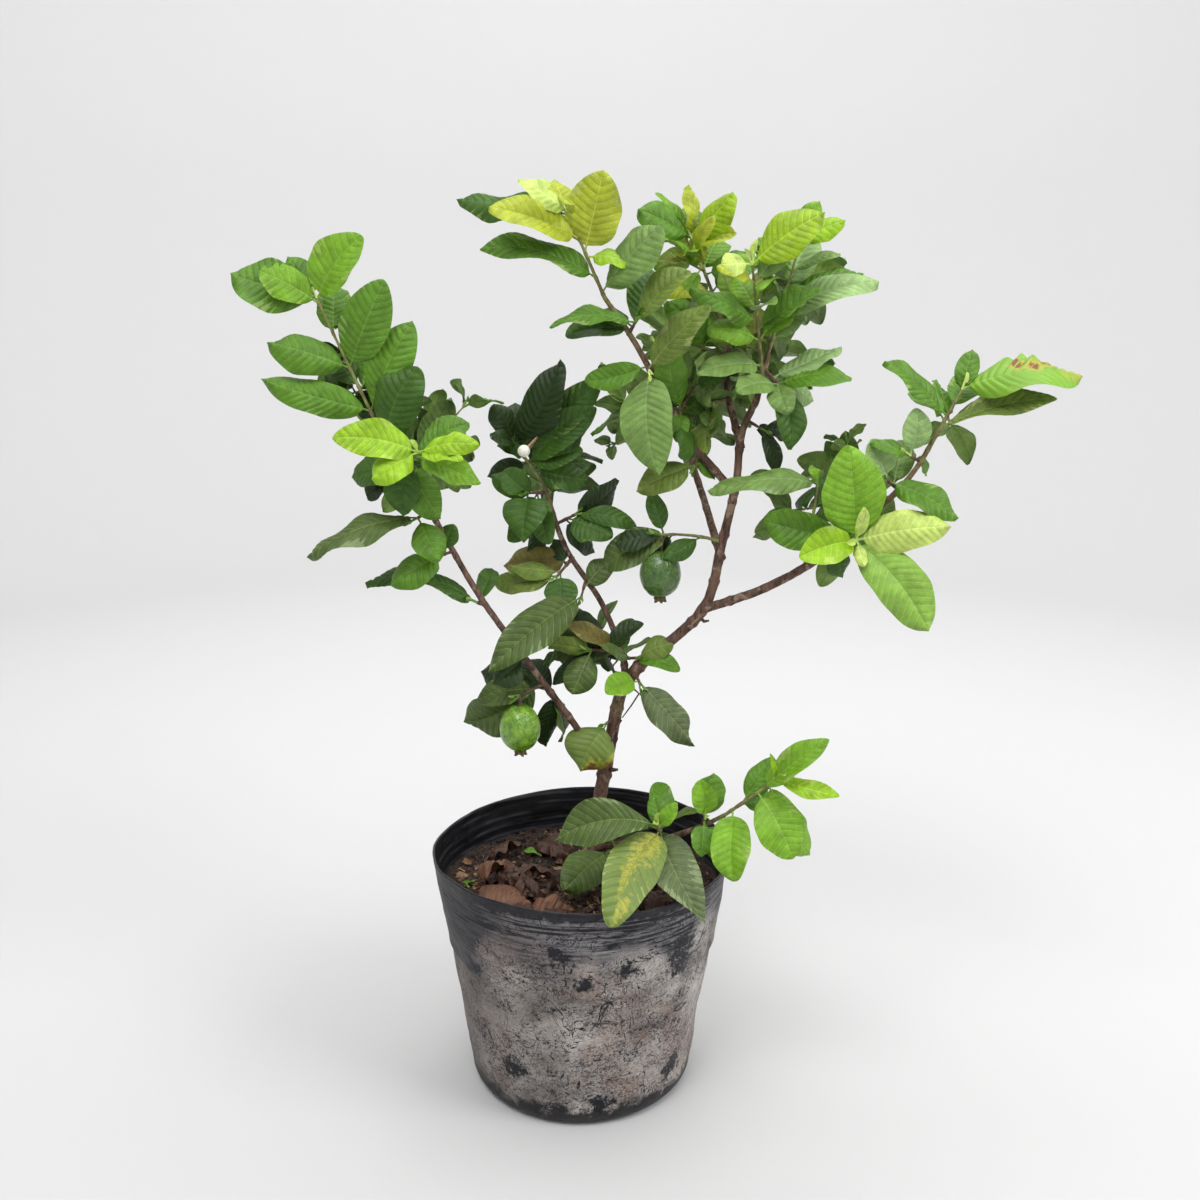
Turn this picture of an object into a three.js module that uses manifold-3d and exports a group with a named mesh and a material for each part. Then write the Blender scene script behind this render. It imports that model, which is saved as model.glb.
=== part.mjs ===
// A young guava tree in a 12-inch nursery pot.
// Millimetres, +Z up. The origin is the centre of the pot's flat underside, and -Y is the front.
import * as THREE from "three";
import { mergeVertices } from "three/addons/utils/BufferGeometryUtils.js";
import Module from "manifold-3d";

const wasm = await Module();
wasm.setup();
const { Manifold, Mesh: SolidMesh } = wasm;

// ---- driving dimensions ------------------------------------------------------------------
const GAP = 0.3;                 // running clearance between neighbouring pieces
const POT_HEIGHT = 250;
const POT_RIM_RADIUS = 150;
const POT_BASE_RADIUS = 116;
const POT_WALL = 2.4;
const POT_FLOOR = 4;
const POT_FOOT_ROUND = 16;       // radius of the rolled bottom edge
const POT_COLLAR_HEIGHT = 182;   // a small step runs round the wall at this height
const POT_COLLAR_STEP = 2.5;
const POT_COLLAR_RAMP = 3;       // half the height over which the step comes in
const POT_OVAL = 0.012;          // how far the soft wall is out of round
const POT_OVAL_TURN = 0.6;       // where round the wall the oval lies, in radians
const POT_RIM_WAVE = 3;          // how far the rim dips and rises
const POT_WAVE_TURN = 0.5;
const POT_WAVE_START = 215;      // the height below which the wave has faded out
const POT_SIDES = 36;
const POT_FOOT_STEPS = 3;
const SOIL_TOP = 210;
const SOIL_FOOT_CHAMFER = 14;
const LIMB_SIDES = 8;
const TRUNK_SIDES = 10;
const STEPS_PER_WAYPOINT = 2;
const TWIG_SIDES = 3;
const TWIG_TAPER = 0.45;         // share of its radius that a stem loses towards its tip
const BOWED_STEPS = 4;
const TWIG_SPREAD = 55;          // angle between a side twig and its stem
const TWIG_SPIRAL = 137.5;       // turn from one side twig to the next
const TWIG_SHARE = 0.82;         // size of a side twig's leaves beside the stem's own
const PETIOLE = 6;               // length of a leaf stalk
const PETIOLE_HALF = 0.9;
const LEAF_THICK = 0.7;          // thickness of the shortest leaf, and a hundredth of its length more
const FRUIT_WIDTH = 41;
const FRUIT_LENGTH = 49;
const FRUIT_SIDES = 10;
const FRUIT_RINGS = 7;
const FRUIT_STALK = 1.8;
const CALYX = 2.5;               // how far the calyx stands out below a fruit
const FLARE = 6;                 // extra radius of the root flare at the soil
const FLARE_REACH = 0.1;         // share of the trunk over which the flare fades
const FLARE_LOBES = 4;
const FLARE_LOBE_DEPTH = 0.25;   // how far the flare swells and sinks round the trunk
const TWIG_FIRST = 0.2;          // share of a stem below its side twigs
const TWIG_RANGE = 0.65;         // share of a stem over which they leave it
const TWIG_LENGTH = [0.4, 0.65]; // least and greatest length beside their stem's
const TWIG_RADIUS = 0.75;        // radius beside their stem's
const LEAF_SIZE = [0.88, 1.12];  // least and greatest size of a paired leaf beside its stem's own
const LEAF_BEND = [20, 55];
const LEAF_TWIST = 12;
const SPREAD_PLAY = 5;
const END = -1;                  // a stem that starts at its limb's tip

// ---- limbs: waypoints of each centre line, from base to tip --------------------------------
const LIMBS = {
  trunk: {
    radii: [11.5, 9],
    route: [[9, 38, 200], [17, 40, 265], [26, 42, 320], [36, 42, 376], [45, 40, 416]],
  },
  leader: {
    radii: [8.6, 3],
    route: [[43, 40, 407], [62, 37, 432], [89, 32, 456], [126, 28, 497], [140, 25, 559],
      [152, 22, 619], [156, 20, 668], [170, 15, 706], [178, 11, 745]],
  },
  bough_left: {
    radii: [6, 3],
    route: [[21, 42, 318], [-4, 30, 366], [-45, 12, 432], [-96, -8, 514], [-137, -30, 599],
      [-164, -35, 642], [-172, -35, 656]],
  },
  bough_middle: {
    radii: [4.6, 2.6],
    route: [[45, 41, 412], [43, 45, 440], [21, 52, 494], [-14, 64, 546], [-32, 70, 596],
      [-38, 72, 614]],
  },
  bough_upper_left: {
    radii: [4.8, 2.6],
    route: [[150, 23, 612], [106, 15, 663], [85, 8, 697], [67, 2, 730], [48, -4, 762],
      [24, -9, 796]],
  },
  bough_crown: {
    radii: [4.4, 2.4],
    route: [[156, 20, 655], [144, 45, 708], [144, 58, 752], [131, 63, 795]],
  },
  bough_right: {
    radii: [6, 2.4],
    route: [[122, 29, 492], [177, 5, 518], [225, -20, 553], [260, -34, 592], [284, -40, 612],
      [309, -42, 643], [326, -44, 676]],
  },
  bough_back: {
    radii: [5, 2.6],
    route: [[140, 25, 545], [128, 80, 590], [112, 140, 645], [106, 175, 690]],
  },
  bough_low: {
    radii: [4, 2.4],
    route: [[14, 38, 226], [44, 0, 251], [80, -50, 279], [117, -62, 298], [140, -68, 313]],
  },
};

// ---- foliage masses ----------------------------------------------------------------------
// heading is the angle in the front view from +X towards +Z, and lean the angle to the front.
// A stem carries opposite leaf pairs; twist turns each pair on from the last, and roll turns
// them all. tilt and turn say where the blades face: tilt up from the horizon, turn from the
// front towards +X. twigs is the number of side twigs, each with two pairs of its own.
const STEM_DEFAULTS = {
  bow: 0, radius: 1.9, pairs: 0, first: 0.25, last: 1, leaf: 80, plump: 0.46, spread: 58, roll: 0,
  twist: 90, tilt: 40, turn: 0, tip: 0.8, stretch: 1, twigs: 0, seed: 1,
};

const blade = (at, heading, lean, length, width, bend = 35) =>
  ({ at, heading, lean, length, width, bend, twist: 0 });

const MASSES = {
  left_top: {
    stem: { limb: "bough_left", height: END, heading: 114, lean: -2, length: 152, tilt: 20 },
    blades: [blade(1, 50, 2, 69, 44), blade(1, 163, 4, 78, 50), blade(0.97, 148, 22, 58, 32),
      blade(0.56, 65, 6, 86, 44), blade(0.56, 161, 8, 76, 38), blade(0.28, 63, -2, 90, 42),
      blade(0.28, 163, 2, 102, 32, 45), blade(0.08, 64, 10, 78, 45), blade(1, 128, -22, 52, 26),
      blade(0.78, 96, -44, 60, 32), blade(0.45, 150, -46, 66, 32), blade(0.42, 60, -46, 66, 32),
      blade(0.14, 120, -48, 64, 34)],
  },
  left_rosette: {
    stem: { limb: "bough_left", height: 642, heading: 42, lean: 50, length: 48, tilt: 38 },
    blades: [blade(1, 169, 12, 76, 36), blade(1, 206, 28, 50, 38), blade(1, 10, 22, 60, 22),
      blade(0.95, 356, 30, 50, 16), blade(0.8, 338, 4, 64, 28), blade(0.7, 32, -4, 60, 34),
      blade(0.45, 196, -16, 62, 34), blade(0.5, 262, 6, 52, 34), blade(0.3, 30, -32, 70, 34),
      blade(0.35, 300, -2, 60, 34), blade(0.25, 222, -6, 50, 26)],
  },
  left_behind: {
    stem: { limb: "bough_left", height: 618, heading: 100, lean: -64, length: 108, pairs: 4,
      leaf: 68, spread: 66, roll: 40, tilt: 40, turn: 175, twigs: 2, seed: 13 },
    blades: [],
  },
  left_spur_high: {
    stem: { limb: "bough_left", height: 602, heading: 205, lean: 20, length: 13, tilt: 50 },
    blades: [blade(1, 197, 10, 110, 34, 72), blade(1, 302, 26, 48, 34), blade(0.6, 95, -32, 60, 32)],
  },
  left_spur_mid: {
    stem: { limb: "bough_left", height: 562, heading: 190, lean: 40, length: 11, tilt: 55 },
    blades: [blade(1, 208, 18, 58, 36), blade(0.9, 72, 0, 46, 30)],
  },
  left_spur_low: {
    stem: { limb: "bough_left", height: 504, heading: 150, lean: 20, length: 11, tilt: 60 },
    blades: [blade(1, 167, 4, 110, 36, 60), blade(0.8, 70, -50, 70, 32)],
  },
  left_fork: {
    stem: { limb: "bough_left", height: 418, heading: 195, lean: 34, length: 30, tilt: 22 },
    blades: [blade(0.2, 218, -14, 95, 56), blade(0.3, 172, -24, 66, 34), blade(0.3, 196, -8, 66, 28)],
    fruit: { hang: 9 },
  },
  left_fork_behind: {
    stem: { limb: "bough_left", height: 410, heading: 290, lean: -40, length: 14, tilt: 25,
      turn: 10 },
    blades: [blade(1, 296, -6, 52, 34), blade(0.8, 262, -22, 70, 26), blade(0.6, 140, -52, 60, 30)],
  },
  left_hook: {
    stem: { limb: "bough_left", height: 440, heading: 110, lean: 30, length: 12, tilt: 30 },
    blades: [blade(1, 216, 20, 42, 34, 60), blade(0.7, 130, -46, 56, 30)],
  },
  middle_top: {
    stem: { limb: "bough_middle", height: END, heading: 125, lean: 4, length: 48, pairs: 1,
      first: 0.7, leaf: 64, spread: 62, roll: 80, tilt: 28, turn: 6, seed: 21 },
    blades: [blade(1, 61, 10, 98, 46, 55), blade(0.5, 40, 14, 92, 36), blade(0.9, 34, -16, 88, 30),
      blade(0.45, 18, 20, 60, 28), blade(0.3, 352, 6, 56, 32), blade(1, 114, 12, 46, 30),
      blade(0.6, 150, 22, 34, 22), blade(0.7, 100, -36, 64, 34), blade(0.3, 60, -44, 66, 34),
      blade(0.15, 10, -30, 60, 30), blade(0.5, 200, -16, 48, 26)],
  },
  middle_front: {
    stem: { limb: "bough_middle", height: 604, heading: 170, lean: 55, length: 30, tilt: 20 },
    blades: [blade(1, 264, 30, 52, 46), blade(1, 135, 12, 34, 28), blade(0.5, 284, 20, 54, 28),
      blade(0.45, 240, 16, 58, 30), blade(0.2, 264, -12, 92, 20), blade(0.5, 160, -10, 50, 30)],
  },
  middle_right: {
    stem: { limb: "bough_middle", height: 572, heading: 30, lean: 20, length: 24, tilt: 40 },
    blades: [blade(1, 350, 12, 66, 22, 60), blade(0.6, 344, 28, 54, 36), blade(0.9, 18, -16, 60, 34),
      blade(0.5, 308, -20, 52, 30)],
  },
  middle_low: {
    stem: { limb: "bough_middle", height: 537, heading: 224, lean: 42, length: 27, tilt: 40 },
    blades: [blade(0.8, 170, 12, 54, 20), blade(0.8, 276, 30, 38, 34), blade(0.2, 186, -14, 72, 36),
      blade(1, 189, -6, 66, 30), blade(0.4, 120, -34, 50, 28)],
  },
  middle_foot: {
    stem: { limb: "bough_middle", height: 517, heading: 250, lean: 66, length: 30, tilt: 35 },
    blades: [blade(1, 215, 26, 122, 50, 30), blade(0.5, 40, -10, 44, 26)],
  },
  fork_left: {
    stem: { limb: "bough_middle", height: 444, heading: 170, lean: 26, length: 34, tilt: 48 },
    blades: [blade(0.2, 146, 18, 64, 22), blade(1, 244, 26, 50, 34), blade(0.9, 186, 8, 52, 22),
      blade(1, 160, -8, 50, 24), blade(0.5, 204, -34, 66, 34), blade(0.6, 140, -30, 60, 32)],
  },
  fork_right: {
    stem: { limb: "bough_middle", height: 436, heading: 20, lean: 44, length: 18, tilt: 45 },
    blades: [blade(1, 24, 10, 42, 26), blade(0.9, 352, 22, 50, 20), blade(0.6, 148, 34, 42, 20)],
  },
  fork_low: {
    stem: { limb: "leader", height: 424, heading: 300, lean: 48, length: 15, tilt: 25, turn: 10 },
    blades: [blade(1, 312, 10, 86, 38, 50), blade(0.8, 190, 30, 40, 28)],
  },
  fork_behind: {
    stem: { limb: "trunk", height: 404, heading: 126, lean: -64, length: 96, pairs: 4, leaf: 60,
      spread: 62, roll: 80, tilt: 45, turn: 180, twigs: 1, seed: 25 },
    blades: [blade(0.4, 22, -40, 62, 30), blade(0.45, 164, -40, 60, 30)],
  },
  middle_behind: {
    stem: { limb: "bough_middle", height: 590, heading: 84, lean: -66, length: 116, pairs: 4,
      leaf: 68, spread: 62, roll: 10, tilt: 42, turn: 185, twigs: 1, seed: 27 },
    blades: [],
  },
  trunk_leaf: {
    stem: { limb: "trunk", height: 372, heading: 180, lean: 60, length: 16, tilt: 6, turn: -10 },
    blades: [blade(1, 240, 16, 58, 54, 40)],
  },
  fruit_spur: {
    stem: { limb: "leader", height: 562, heading: 162, lean: 2, length: 62, bow: 22, tilt: 35 },
    blades: [blade(0.95, 108, -10, 44, 20), blade(0.95, 194, -14, 50, 28), blade(0.85, 211, -18, 80, 40),
      blade(0.35, 206, 24, 46, 20), blade(0.8, 240, -34, 50, 26)],
    fruit: { hang: 14 },
  },
  upper_left_top: {
    stem: { limb: "bough_upper_left", height: END, heading: 114, lean: 4, length: 78, pairs: 1,
      first: 0.45, leaf: 60, roll: 80, tilt: 40, seed: 31 },
    blades: [blade(0.55, 77, 8, 72, 52, 20), blade(0.72, 163, 18, 86, 44), blade(1, 176, -12, 82, 28),
      blade(1, 145, 2, 54, 26), blade(0.06, 47, 16, 80, 42), blade(0.25, 166, 6, 108, 30, 45),
      blade(0.5, 350, 18, 44, 22), blade(1, 112, -24, 38, 20), blade(0.7, 60, -40, 56, 30)],
  },
  upper_left_mid: {
    stem: { limb: "bough_upper_left", height: 764, heading: 60, lean: 40, length: 15, tilt: 45 },
    blades: [blade(1, 181, 10, 80, 24), blade(0.3, 186, -2, 60, 30), blade(1, 42, 16, 68, 40),
      blade(0.6, 155, -26, 62, 30), blade(0.6, 70, -30, 64, 32)],
  },
  upper_left_low: {
    stem: { limb: "bough_upper_left", height: 738, heading: 290, lean: 55, length: 14, tilt: 12,
      turn: -16 },
    blades: [blade(1, 276, 10, 98, 50, 30), blade(0.8, 48, 22, 84, 32), blade(0.6, 193, -6, 60, 26)],
  },
  upper_left_inner: {
    stem: { limb: "bough_upper_left", height: 684, heading: 60, lean: -20, length: 36, tilt: 30,
      pairs: 2, leaf: 62, roll: 45, seed: 34 },
    blades: [blade(0.3, 262, 30, 52, 30), blade(1, 200, 10, 60, 32)],
  },
  upper_left_foot: {
    stem: { limb: "bough_upper_left", height: 652, heading: 250, lean: 22, length: 14, tilt: 35 },
    blades: [blade(1, 203, 8, 62, 34), blade(0.6, 120, 40, 48, 30), blade(0.8, 330, -50, 40, 24)],
  },
  crown_top: {
    stem: { limb: "bough_crown", height: END, heading: 112, lean: -6, length: 60, pairs: 2,
      first: 0.1, last: 0.6, leaf: 60, spread: 66, roll: 20, tilt: 38, tip: 1, twigs: 1, seed: 41 },
    blades: [blade(1, 153, 10, 60, 40), blade(0.96, 50, 22, 60, 34), blade(1, 78, -2, 50, 24),
      blade(0.98, 122, -16, 58, 14), blade(0.9, 14, 16, 42, 26), blade(0.9, 92, -44, 50, 30),
      blade(0.5, 150, 18, 62, 42), blade(0.4, 10, 10, 56, 34), blade(0.5, 60, -50, 60, 32)],
  },
  crown_left: {
    stem: { limb: "bough_crown", height: 742, heading: 165, lean: 28, length: 44, pairs: 2,
      leaf: 66, roll: 30, tilt: 35, seed: 42 },
    blades: [blade(1, 228, 14, 60, 38), blade(0.6, 130, 16, 62, 40)],
  },
  crown_front: {
    stem: { limb: "leader", height: 722, heading: 100, lean: 22, length: 112, pairs: 3,
      first: 0.35, last: 0.85, leaf: 58, roll: 15, tilt: 40, tip: 0.8, seed: 43 },
    blades: [blade(1, 36, 8, 76, 42), blade(1, 180, 20, 30, 24), blade(0.5, 155, 16, 74, 26),
      blade(0.45, 34, 16, 66, 34), blade(0.12, 186, 26, 70, 30)],
  },
  crown_right: {
    stem: { limb: "leader", height: END, heading: 76, lean: 3, length: 102, pairs: 2, first: 0.45,
      last: 0.75, leaf: 56, spread: 58, roll: 60, tilt: 45, tip: 0.8, twigs: 1, seed: 44 },
    blades: [blade(1, 66, 6, 40, 22), blade(1, 26, 12, 44, 24), blade(0.35, 19, 10, 94, 38, 45),
      blade(0.48, 18, -8, 80, 28), blade(0.6, 66, -24, 64, 34), blade(0.1, 48, -20, 50, 28)],
  },
  crown_mid: {
    stem: { limb: "leader", height: 730, heading: 310, lean: 42, length: 22, tilt: 45 },
    blades: [blade(1, 5, 8, 68, 34, 45), blade(1, 187, 34, 50, 28), blade(0.9, 283, 22, 66, 34),
      blade(0.9, 286, 50, 40, 28), blade(0.6, 24, -10, 74, 26), blade(0.4, 330, -30, 62, 30)],
  },
  leader_dark: {
    stem: { limb: "leader", height: 682, heading: 330, lean: -4, length: 16, tilt: 40 },
    blades: [blade(1, 292, 0, 46, 18), blade(1, 345, -20, 34, 22), blade(0.6, 312, -40, 50, 24)],
  },
  crown_inner: {
    stem: { limb: "bough_crown", height: 700, heading: 190, lean: 10, length: 46, pairs: 2,
      leaf: 60, roll: 50, tilt: 35, twigs: 1, seed: 46 },
    blades: [blade(0.3, 250, 20, 58, 36)],
  },
  crown_back: {
    stem: { limb: "bough_back", height: END, heading: 88, lean: -22, length: 84, pairs: 4,
      leaf: 74, spread: 60, roll: 30, tilt: 42, turn: 170, twigs: 3, seed: 51 },
    blades: [],
  },
  crown_back_left: {
    stem: { limb: "bough_back", height: 655, heading: 158, lean: -34, length: 80, pairs: 4,
      leaf: 68, spread: 60, roll: 45, tilt: 45, turn: 200, twigs: 1, seed: 52 },
    blades: [],
  },
  crown_back_low: {
    stem: { limb: "bough_back", height: 640, heading: 60, lean: -40, length: 44, tilt: 45, turn: 165 },
    blades: [blade(1, 62, -20, 62, 32), blade(1, 150, -24, 56, 30), blade(0.6, 125, -40, 58, 32),
      blade(0.4, 24, -50, 56, 30), blade(0.9, 345, -52, 44, 28)],
  },
  crown_back_right: {
    stem: { limb: "leader", height: 700, heading: 72, lean: -56, length: 108, pairs: 4,
      leaf: 66, spread: 60, roll: 10, tilt: 45, turn: 160, twigs: 2, seed: 54 },
    blades: [],
  },
  right_rosette: {
    stem: { limb: "bough_right", height: 562, heading: 45, lean: 55, length: 48, tilt: 18 },
    blades: [blade(1, 98, 4, 88, 60, 20), blade(1, 192, 20, 60, 36), blade(1, 11, 12, 84, 38),
      blade(1, 309, 14, 106, 50, 20), blade(0.7, 166, -8, 80, 40), blade(1, 86, 44, 26, 9),
      blade(1, 285, 50, 20, 9), blade(0.4, 285, -14, 34, 24), blade(0.35, 20, -30, 60, 30)],
  },
  right_spur: {
    stem: { limb: "bough_right", height: 545, heading: 82, lean: -5, length: 80, tilt: 50 },
    blades: [blade(1, 184, 4, 104, 30, 80), blade(0.96, 108, 8, 24, 12, 70),
      blade(0.7, 40, -40, 52, 28)],
  },
  right_behind: {
    stem: { limb: "bough_right", height: 590, heading: 66, lean: -66, length: 104, pairs: 2,
      first: 0.75, leaf: 56, spread: 66, roll: 50, tilt: 42, turn: 180, twigs: 1, seed: 62 },
    blades: [blade(0.7, 18, -16, 60, 32), blade(0.7, 158, -18, 62, 34),
      blade(0.5, 206, -38, 56, 30), blade(0.5, 334, -34, 60, 32), blade(0.25, 44, -48, 50, 28),
      blade(0.3, 150, -50, 56, 28)],
  },
  right_mid: {
    stem: { limb: "bough_right", height: 624, heading: 140, lean: 14, length: 16, tilt: 40 },
    blades: [blade(1, 116, 8, 42, 30), blade(0.8, 333, 20, 70, 34), blade(0.9, 190, 18, 40, 22),
      blade(0.5, 60, -40, 56, 28)],
  },
  right_shoulder: {
    stem: { limb: "bough_right", height: 650, heading: 150, lean: 10, length: 12, tilt: 40 },
    blades: [blade(1, 88, 6, 44, 26), blade(1, 160, 16, 44, 18), blade(0.7, 320, -40, 50, 26)],
  },
  right_top: {
    stem: { limb: "bough_right", height: END, heading: 62, lean: -2, length: 44, tilt: 55 },
    blades: [blade(1, 6, 4, 104, 54, 80), blade(0.15, 15, 12, 100, 28, 40), blade(0.3, 139, 6, 80, 32),
      blade(0.9, 72, -20, 44, 22), blade(0.4, 140, -52, 52, 26), blade(0.6, 40, -50, 60, 30)],
  },
  low_tip: {
    stem: { limb: "bough_low", height: END, heading: 43, lean: 14, length: 64, tilt: 45 },
    blades: [blade(0.75, 43, 8, 80, 28), blade(1, 351, 16, 60, 18), blade(0.95, 93, 12, 32, 9),
      blade(0.65, 300, 28, 70, 44), blade(0.15, 268, 36, 68, 42), blade(0.85, 300, -12, 98, 36),
      blade(0.35, 56, -16, 54, 26), blade(0.3, 340, -40, 56, 28)],
  },
  low_mid: {
    stem: { limb: "bough_low", height: 299, heading: 80, lean: 34, length: 14, tilt: 35 },
    blades: [blade(1, 98, 6, 42, 26), blade(0.8, 262, 40, 36, 24), blade(0.8, 78, -14, 46, 32),
      blade(0.5, 305, 10, 46, 26)],
  },
  low_foot: {
    stem: { limb: "bough_low", height: 279, heading: 100, lean: 45, length: 44, tilt: 40 },
    blades: [blade(1, 189, 4, 98, 44, 75), blade(0.55, 226, 54, 117, 50, 40),
      blade(0.3, 307, 52, 104, 46, 40), blade(0.7, 60, 8, 34, 16), blade(0.4, 100, -40, 40, 20)],
  },
  low_spur: {
    stem: { limb: "bough_low", height: 250, heading: 190, lean: 50, length: 18, tilt: 60 },
    blades: [blade(1, 198, 48, 72, 42), blade(0.6, 120, -20, 44, 26)],
  },
};

// ---- colours -----------------------------------------------------------------------------
const material = (color, roughness) =>
  new THREE.MeshStandardMaterial({ color, roughness, metalness: 0 });
const PLASTIC = () => material(0x6f6863, 0.6);
const EARTH = () => material(0x3a2c25, 0.95);
const BARK = () => material(0x5b4238, 0.85);
const LEAF_GREENS = [0x4a7d38, 0x3f7334, 0x568b3c, 0x38682f];
const FOLIAGE = (index) => material(LEAF_GREENS[index % LEAF_GREENS.length], 0.55);

// ---- small maths -------------------------------------------------------------------------
const rad = THREE.MathUtils.degToRad;
const vec = (x, y, z) => new THREE.Vector3(x, y, z);
const along = (point, direction, distance) => point.clone().addScaledVector(direction, distance);
const between = ([least, greatest], share) => least + (greatest - least) * share;

// A repeatable stream of numbers from 0 to 1.
function stream(seed) {
  let state = seed >>> 0;
  return () => {
    state = (state + 0x6d2b79f5) >>> 0;
    let t = state;
    t = Math.imul(t ^ (t >>> 15), t | 1);
    t = (t ^ (t + Math.imul(t ^ (t >>> 7), t | 61))) >>> 0;
    return ((t ^ (t >>> 14)) >>> 0) / 4294967296;
  };
}

function pointing(heading, lean) {
  const h = rad(heading);
  const l = rad(lean);
  return vec(Math.cos(l) * Math.cos(h), -Math.sin(l), Math.cos(l) * Math.sin(h));
}

// The way leaves face: up from the horizon by tilt, round from the front by turn.
function facing(tilt, turn) {
  return vec(Math.sin(rad(turn)) * Math.cos(rad(tilt)), -Math.cos(rad(turn)) * Math.cos(rad(tilt)),
    Math.sin(rad(tilt)));
}

// ---- solids from vertices and triangles ----------------------------------------------------
function solidFrom(vertices, triangles) {
  const mesh = new SolidMesh({
    numProp: 3,
    vertProperties: new Float32Array(vertices),
    triVerts: new Uint32Array(triangles),
  });
  return new Manifold(mesh);
}

function solidOf(geometry) {
  const bare = geometry.clone();
  bare.deleteAttribute("normal");
  bare.deleteAttribute("uv");
  const merged = mergeVertices(bare, 1e-4);
  return solidFrom(merged.attributes.position.array, merged.index.array);
}

function geometryOf(solid) {
  const mesh = solid.getMesh();
  const geometry = new THREE.BufferGeometry();
  geometry.setAttribute("position", new THREE.Float32BufferAttribute(mesh.vertProperties, 3));
  geometry.setIndex(new THREE.BufferAttribute(mesh.triVerts, 1));
  geometry.computeVertexNormals();
  return geometry;
}

// A closed tube: one ring of corners at each station, and a fan over each end.
function tube(points, radiusAt, sides) {
  const vertices = [];
  const triangles = [];
  const last = points.length - 1;
  let side = null;
  points.forEach((point, i) => {
    const before = points[Math.max(i - 1, 0)];
    const after = points[Math.min(i + 1, last)];
    const tangent = after.clone().sub(before).normalize();
    const start = side ?? vec(0.31, -0.89, 0.33);
    side = start.clone().addScaledVector(tangent, -start.dot(tangent)).normalize();
    const other = tangent.clone().cross(side);
    for (let k = 0; k < sides; k += 1) {
      const angle = (2 * Math.PI * k) / sides;
      const radius = radiusAt(i / last, angle);
      const corner = along(along(point, side, radius * Math.cos(angle)), other, radius * Math.sin(angle));
      vertices.push(corner.x, corner.y, corner.z);
    }
  });
  for (let i = 0; i < last; i += 1) {
    for (let k = 0; k < sides; k += 1) {
      const a = i * sides + k;
      const b = i * sides + ((k + 1) % sides);
      triangles.push(a, b, b + sides, a, b + sides, a + sides);
    }
  }
  for (let k = 1; k < sides - 1; k += 1) {
    triangles.push(0, k + 1, k);
    triangles.push(last * sides, last * sides + k, last * sides + k + 1);
  }
  return solidFrom(vertices, triangles);
}

// ---- pot and soil ------------------------------------------------------------------------
const potRadius = (z) => {
  const slope = (POT_RIM_RADIUS - POT_BASE_RADIUS) / POT_HEIGHT;
  const step = z > POT_COLLAR_HEIGHT ? POT_COLLAR_STEP : 0;
  return POT_BASE_RADIUS - POT_COLLAR_STEP + slope * z + step;
};

// The wall below and above its step.
const COLLAR = [POT_COLLAR_HEIGHT - POT_COLLAR_RAMP, POT_COLLAR_HEIGHT + POT_COLLAR_RAMP]
  .map((z) => [potRadius(z), z]);

// The thin wall is a little out of round, and its rim dips and rises.
function softened(geometry) {
  const position = geometry.attributes.position;
  for (let i = 0; i < position.count; i += 1) {
    const x = position.getX(i);
    const y = position.getY(i);
    const z = position.getZ(i);
    const angle = Math.atan2(y, x);
    const share = Math.max(0, z - POT_FOOT_ROUND) / POT_HEIGHT;
    const scale = 1 + POT_OVAL * share * Math.cos(2 * angle + POT_OVAL_TURN);
    const wave = Math.max(0, z - POT_WAVE_START) / (POT_HEIGHT - POT_WAVE_START);
    const rise = POT_RIM_WAVE * wave * Math.sin(2 * angle - POT_WAVE_TURN);
    position.setXYZ(i, x * scale, y * scale, z + rise);
  }
  return geometry;
}

function lathe(profile) {
  const outline = profile.map(([radius, z]) => new THREE.Vector2(radius, z));
  const geometry = new THREE.LatheGeometry(outline, POT_SIDES);
  return geometry.rotateX(Math.PI / 2);
}

function potSolid() {
  const foot = [];
  for (let i = 0; i <= POT_FOOT_STEPS; i += 1) {
    const turn = (Math.PI / 2) * (i / POT_FOOT_STEPS);
    const z = POT_FOOT_ROUND * (1 - Math.cos(turn));
    foot.push([potRadius(POT_FOOT_ROUND) - POT_FOOT_ROUND * (1 - Math.sin(turn)), z]);
  }
  const outside = [[0, 0], ...foot, ...COLLAR, [potRadius(SOIL_TOP), SOIL_TOP],
    [potRadius(POT_HEIGHT), POT_HEIGHT]];
  const inside = outside.slice(3).reverse().map(([radius, z]) => [radius - POT_WALL, z]);
  const floor = [[foot[1][0], POT_FLOOR], [0, POT_FLOOR]];
  return solidOf(softened(lathe([...outside, ...inside, ...floor])));
}

function soilSolid() {
  const room = POT_WALL + GAP;
  const floor = POT_FLOOR + GAP;
  const foot = potRadius(POT_FOOT_ROUND);
  const profile = [[0, floor], [foot - SOIL_FOOT_CHAMFER, floor],
    [foot - room - 1, POT_FOOT_ROUND + 2], ...COLLAR.map(([radius, z]) => [radius - room, z]),
    [potRadius(SOIL_TOP) - room, SOIL_TOP], [0, SOIL_TOP]];
  return solidOf(softened(lathe(profile)));
}

// ---- trunk and boughs --------------------------------------------------------------------
const limbCurve = (name) => new THREE.CatmullRomCurve3(
  LIMBS[name].route.map(([x, y, z]) => vec(x, y, z)), false, "catmullrom", 0.5);

function limbRadius(name, t, angle) {
  const [thick, thin] = LIMBS[name].radii;
  const taper = thick + (thin - thick) * t;
  if (name !== "trunk") return taper;
  const flare = FLARE * Math.exp(-t / FLARE_REACH);
  return taper + flare * (1 - FLARE_LOBE_DEPTH + FLARE_LOBE_DEPTH * Math.cos(FLARE_LOBES * angle));
}

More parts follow.
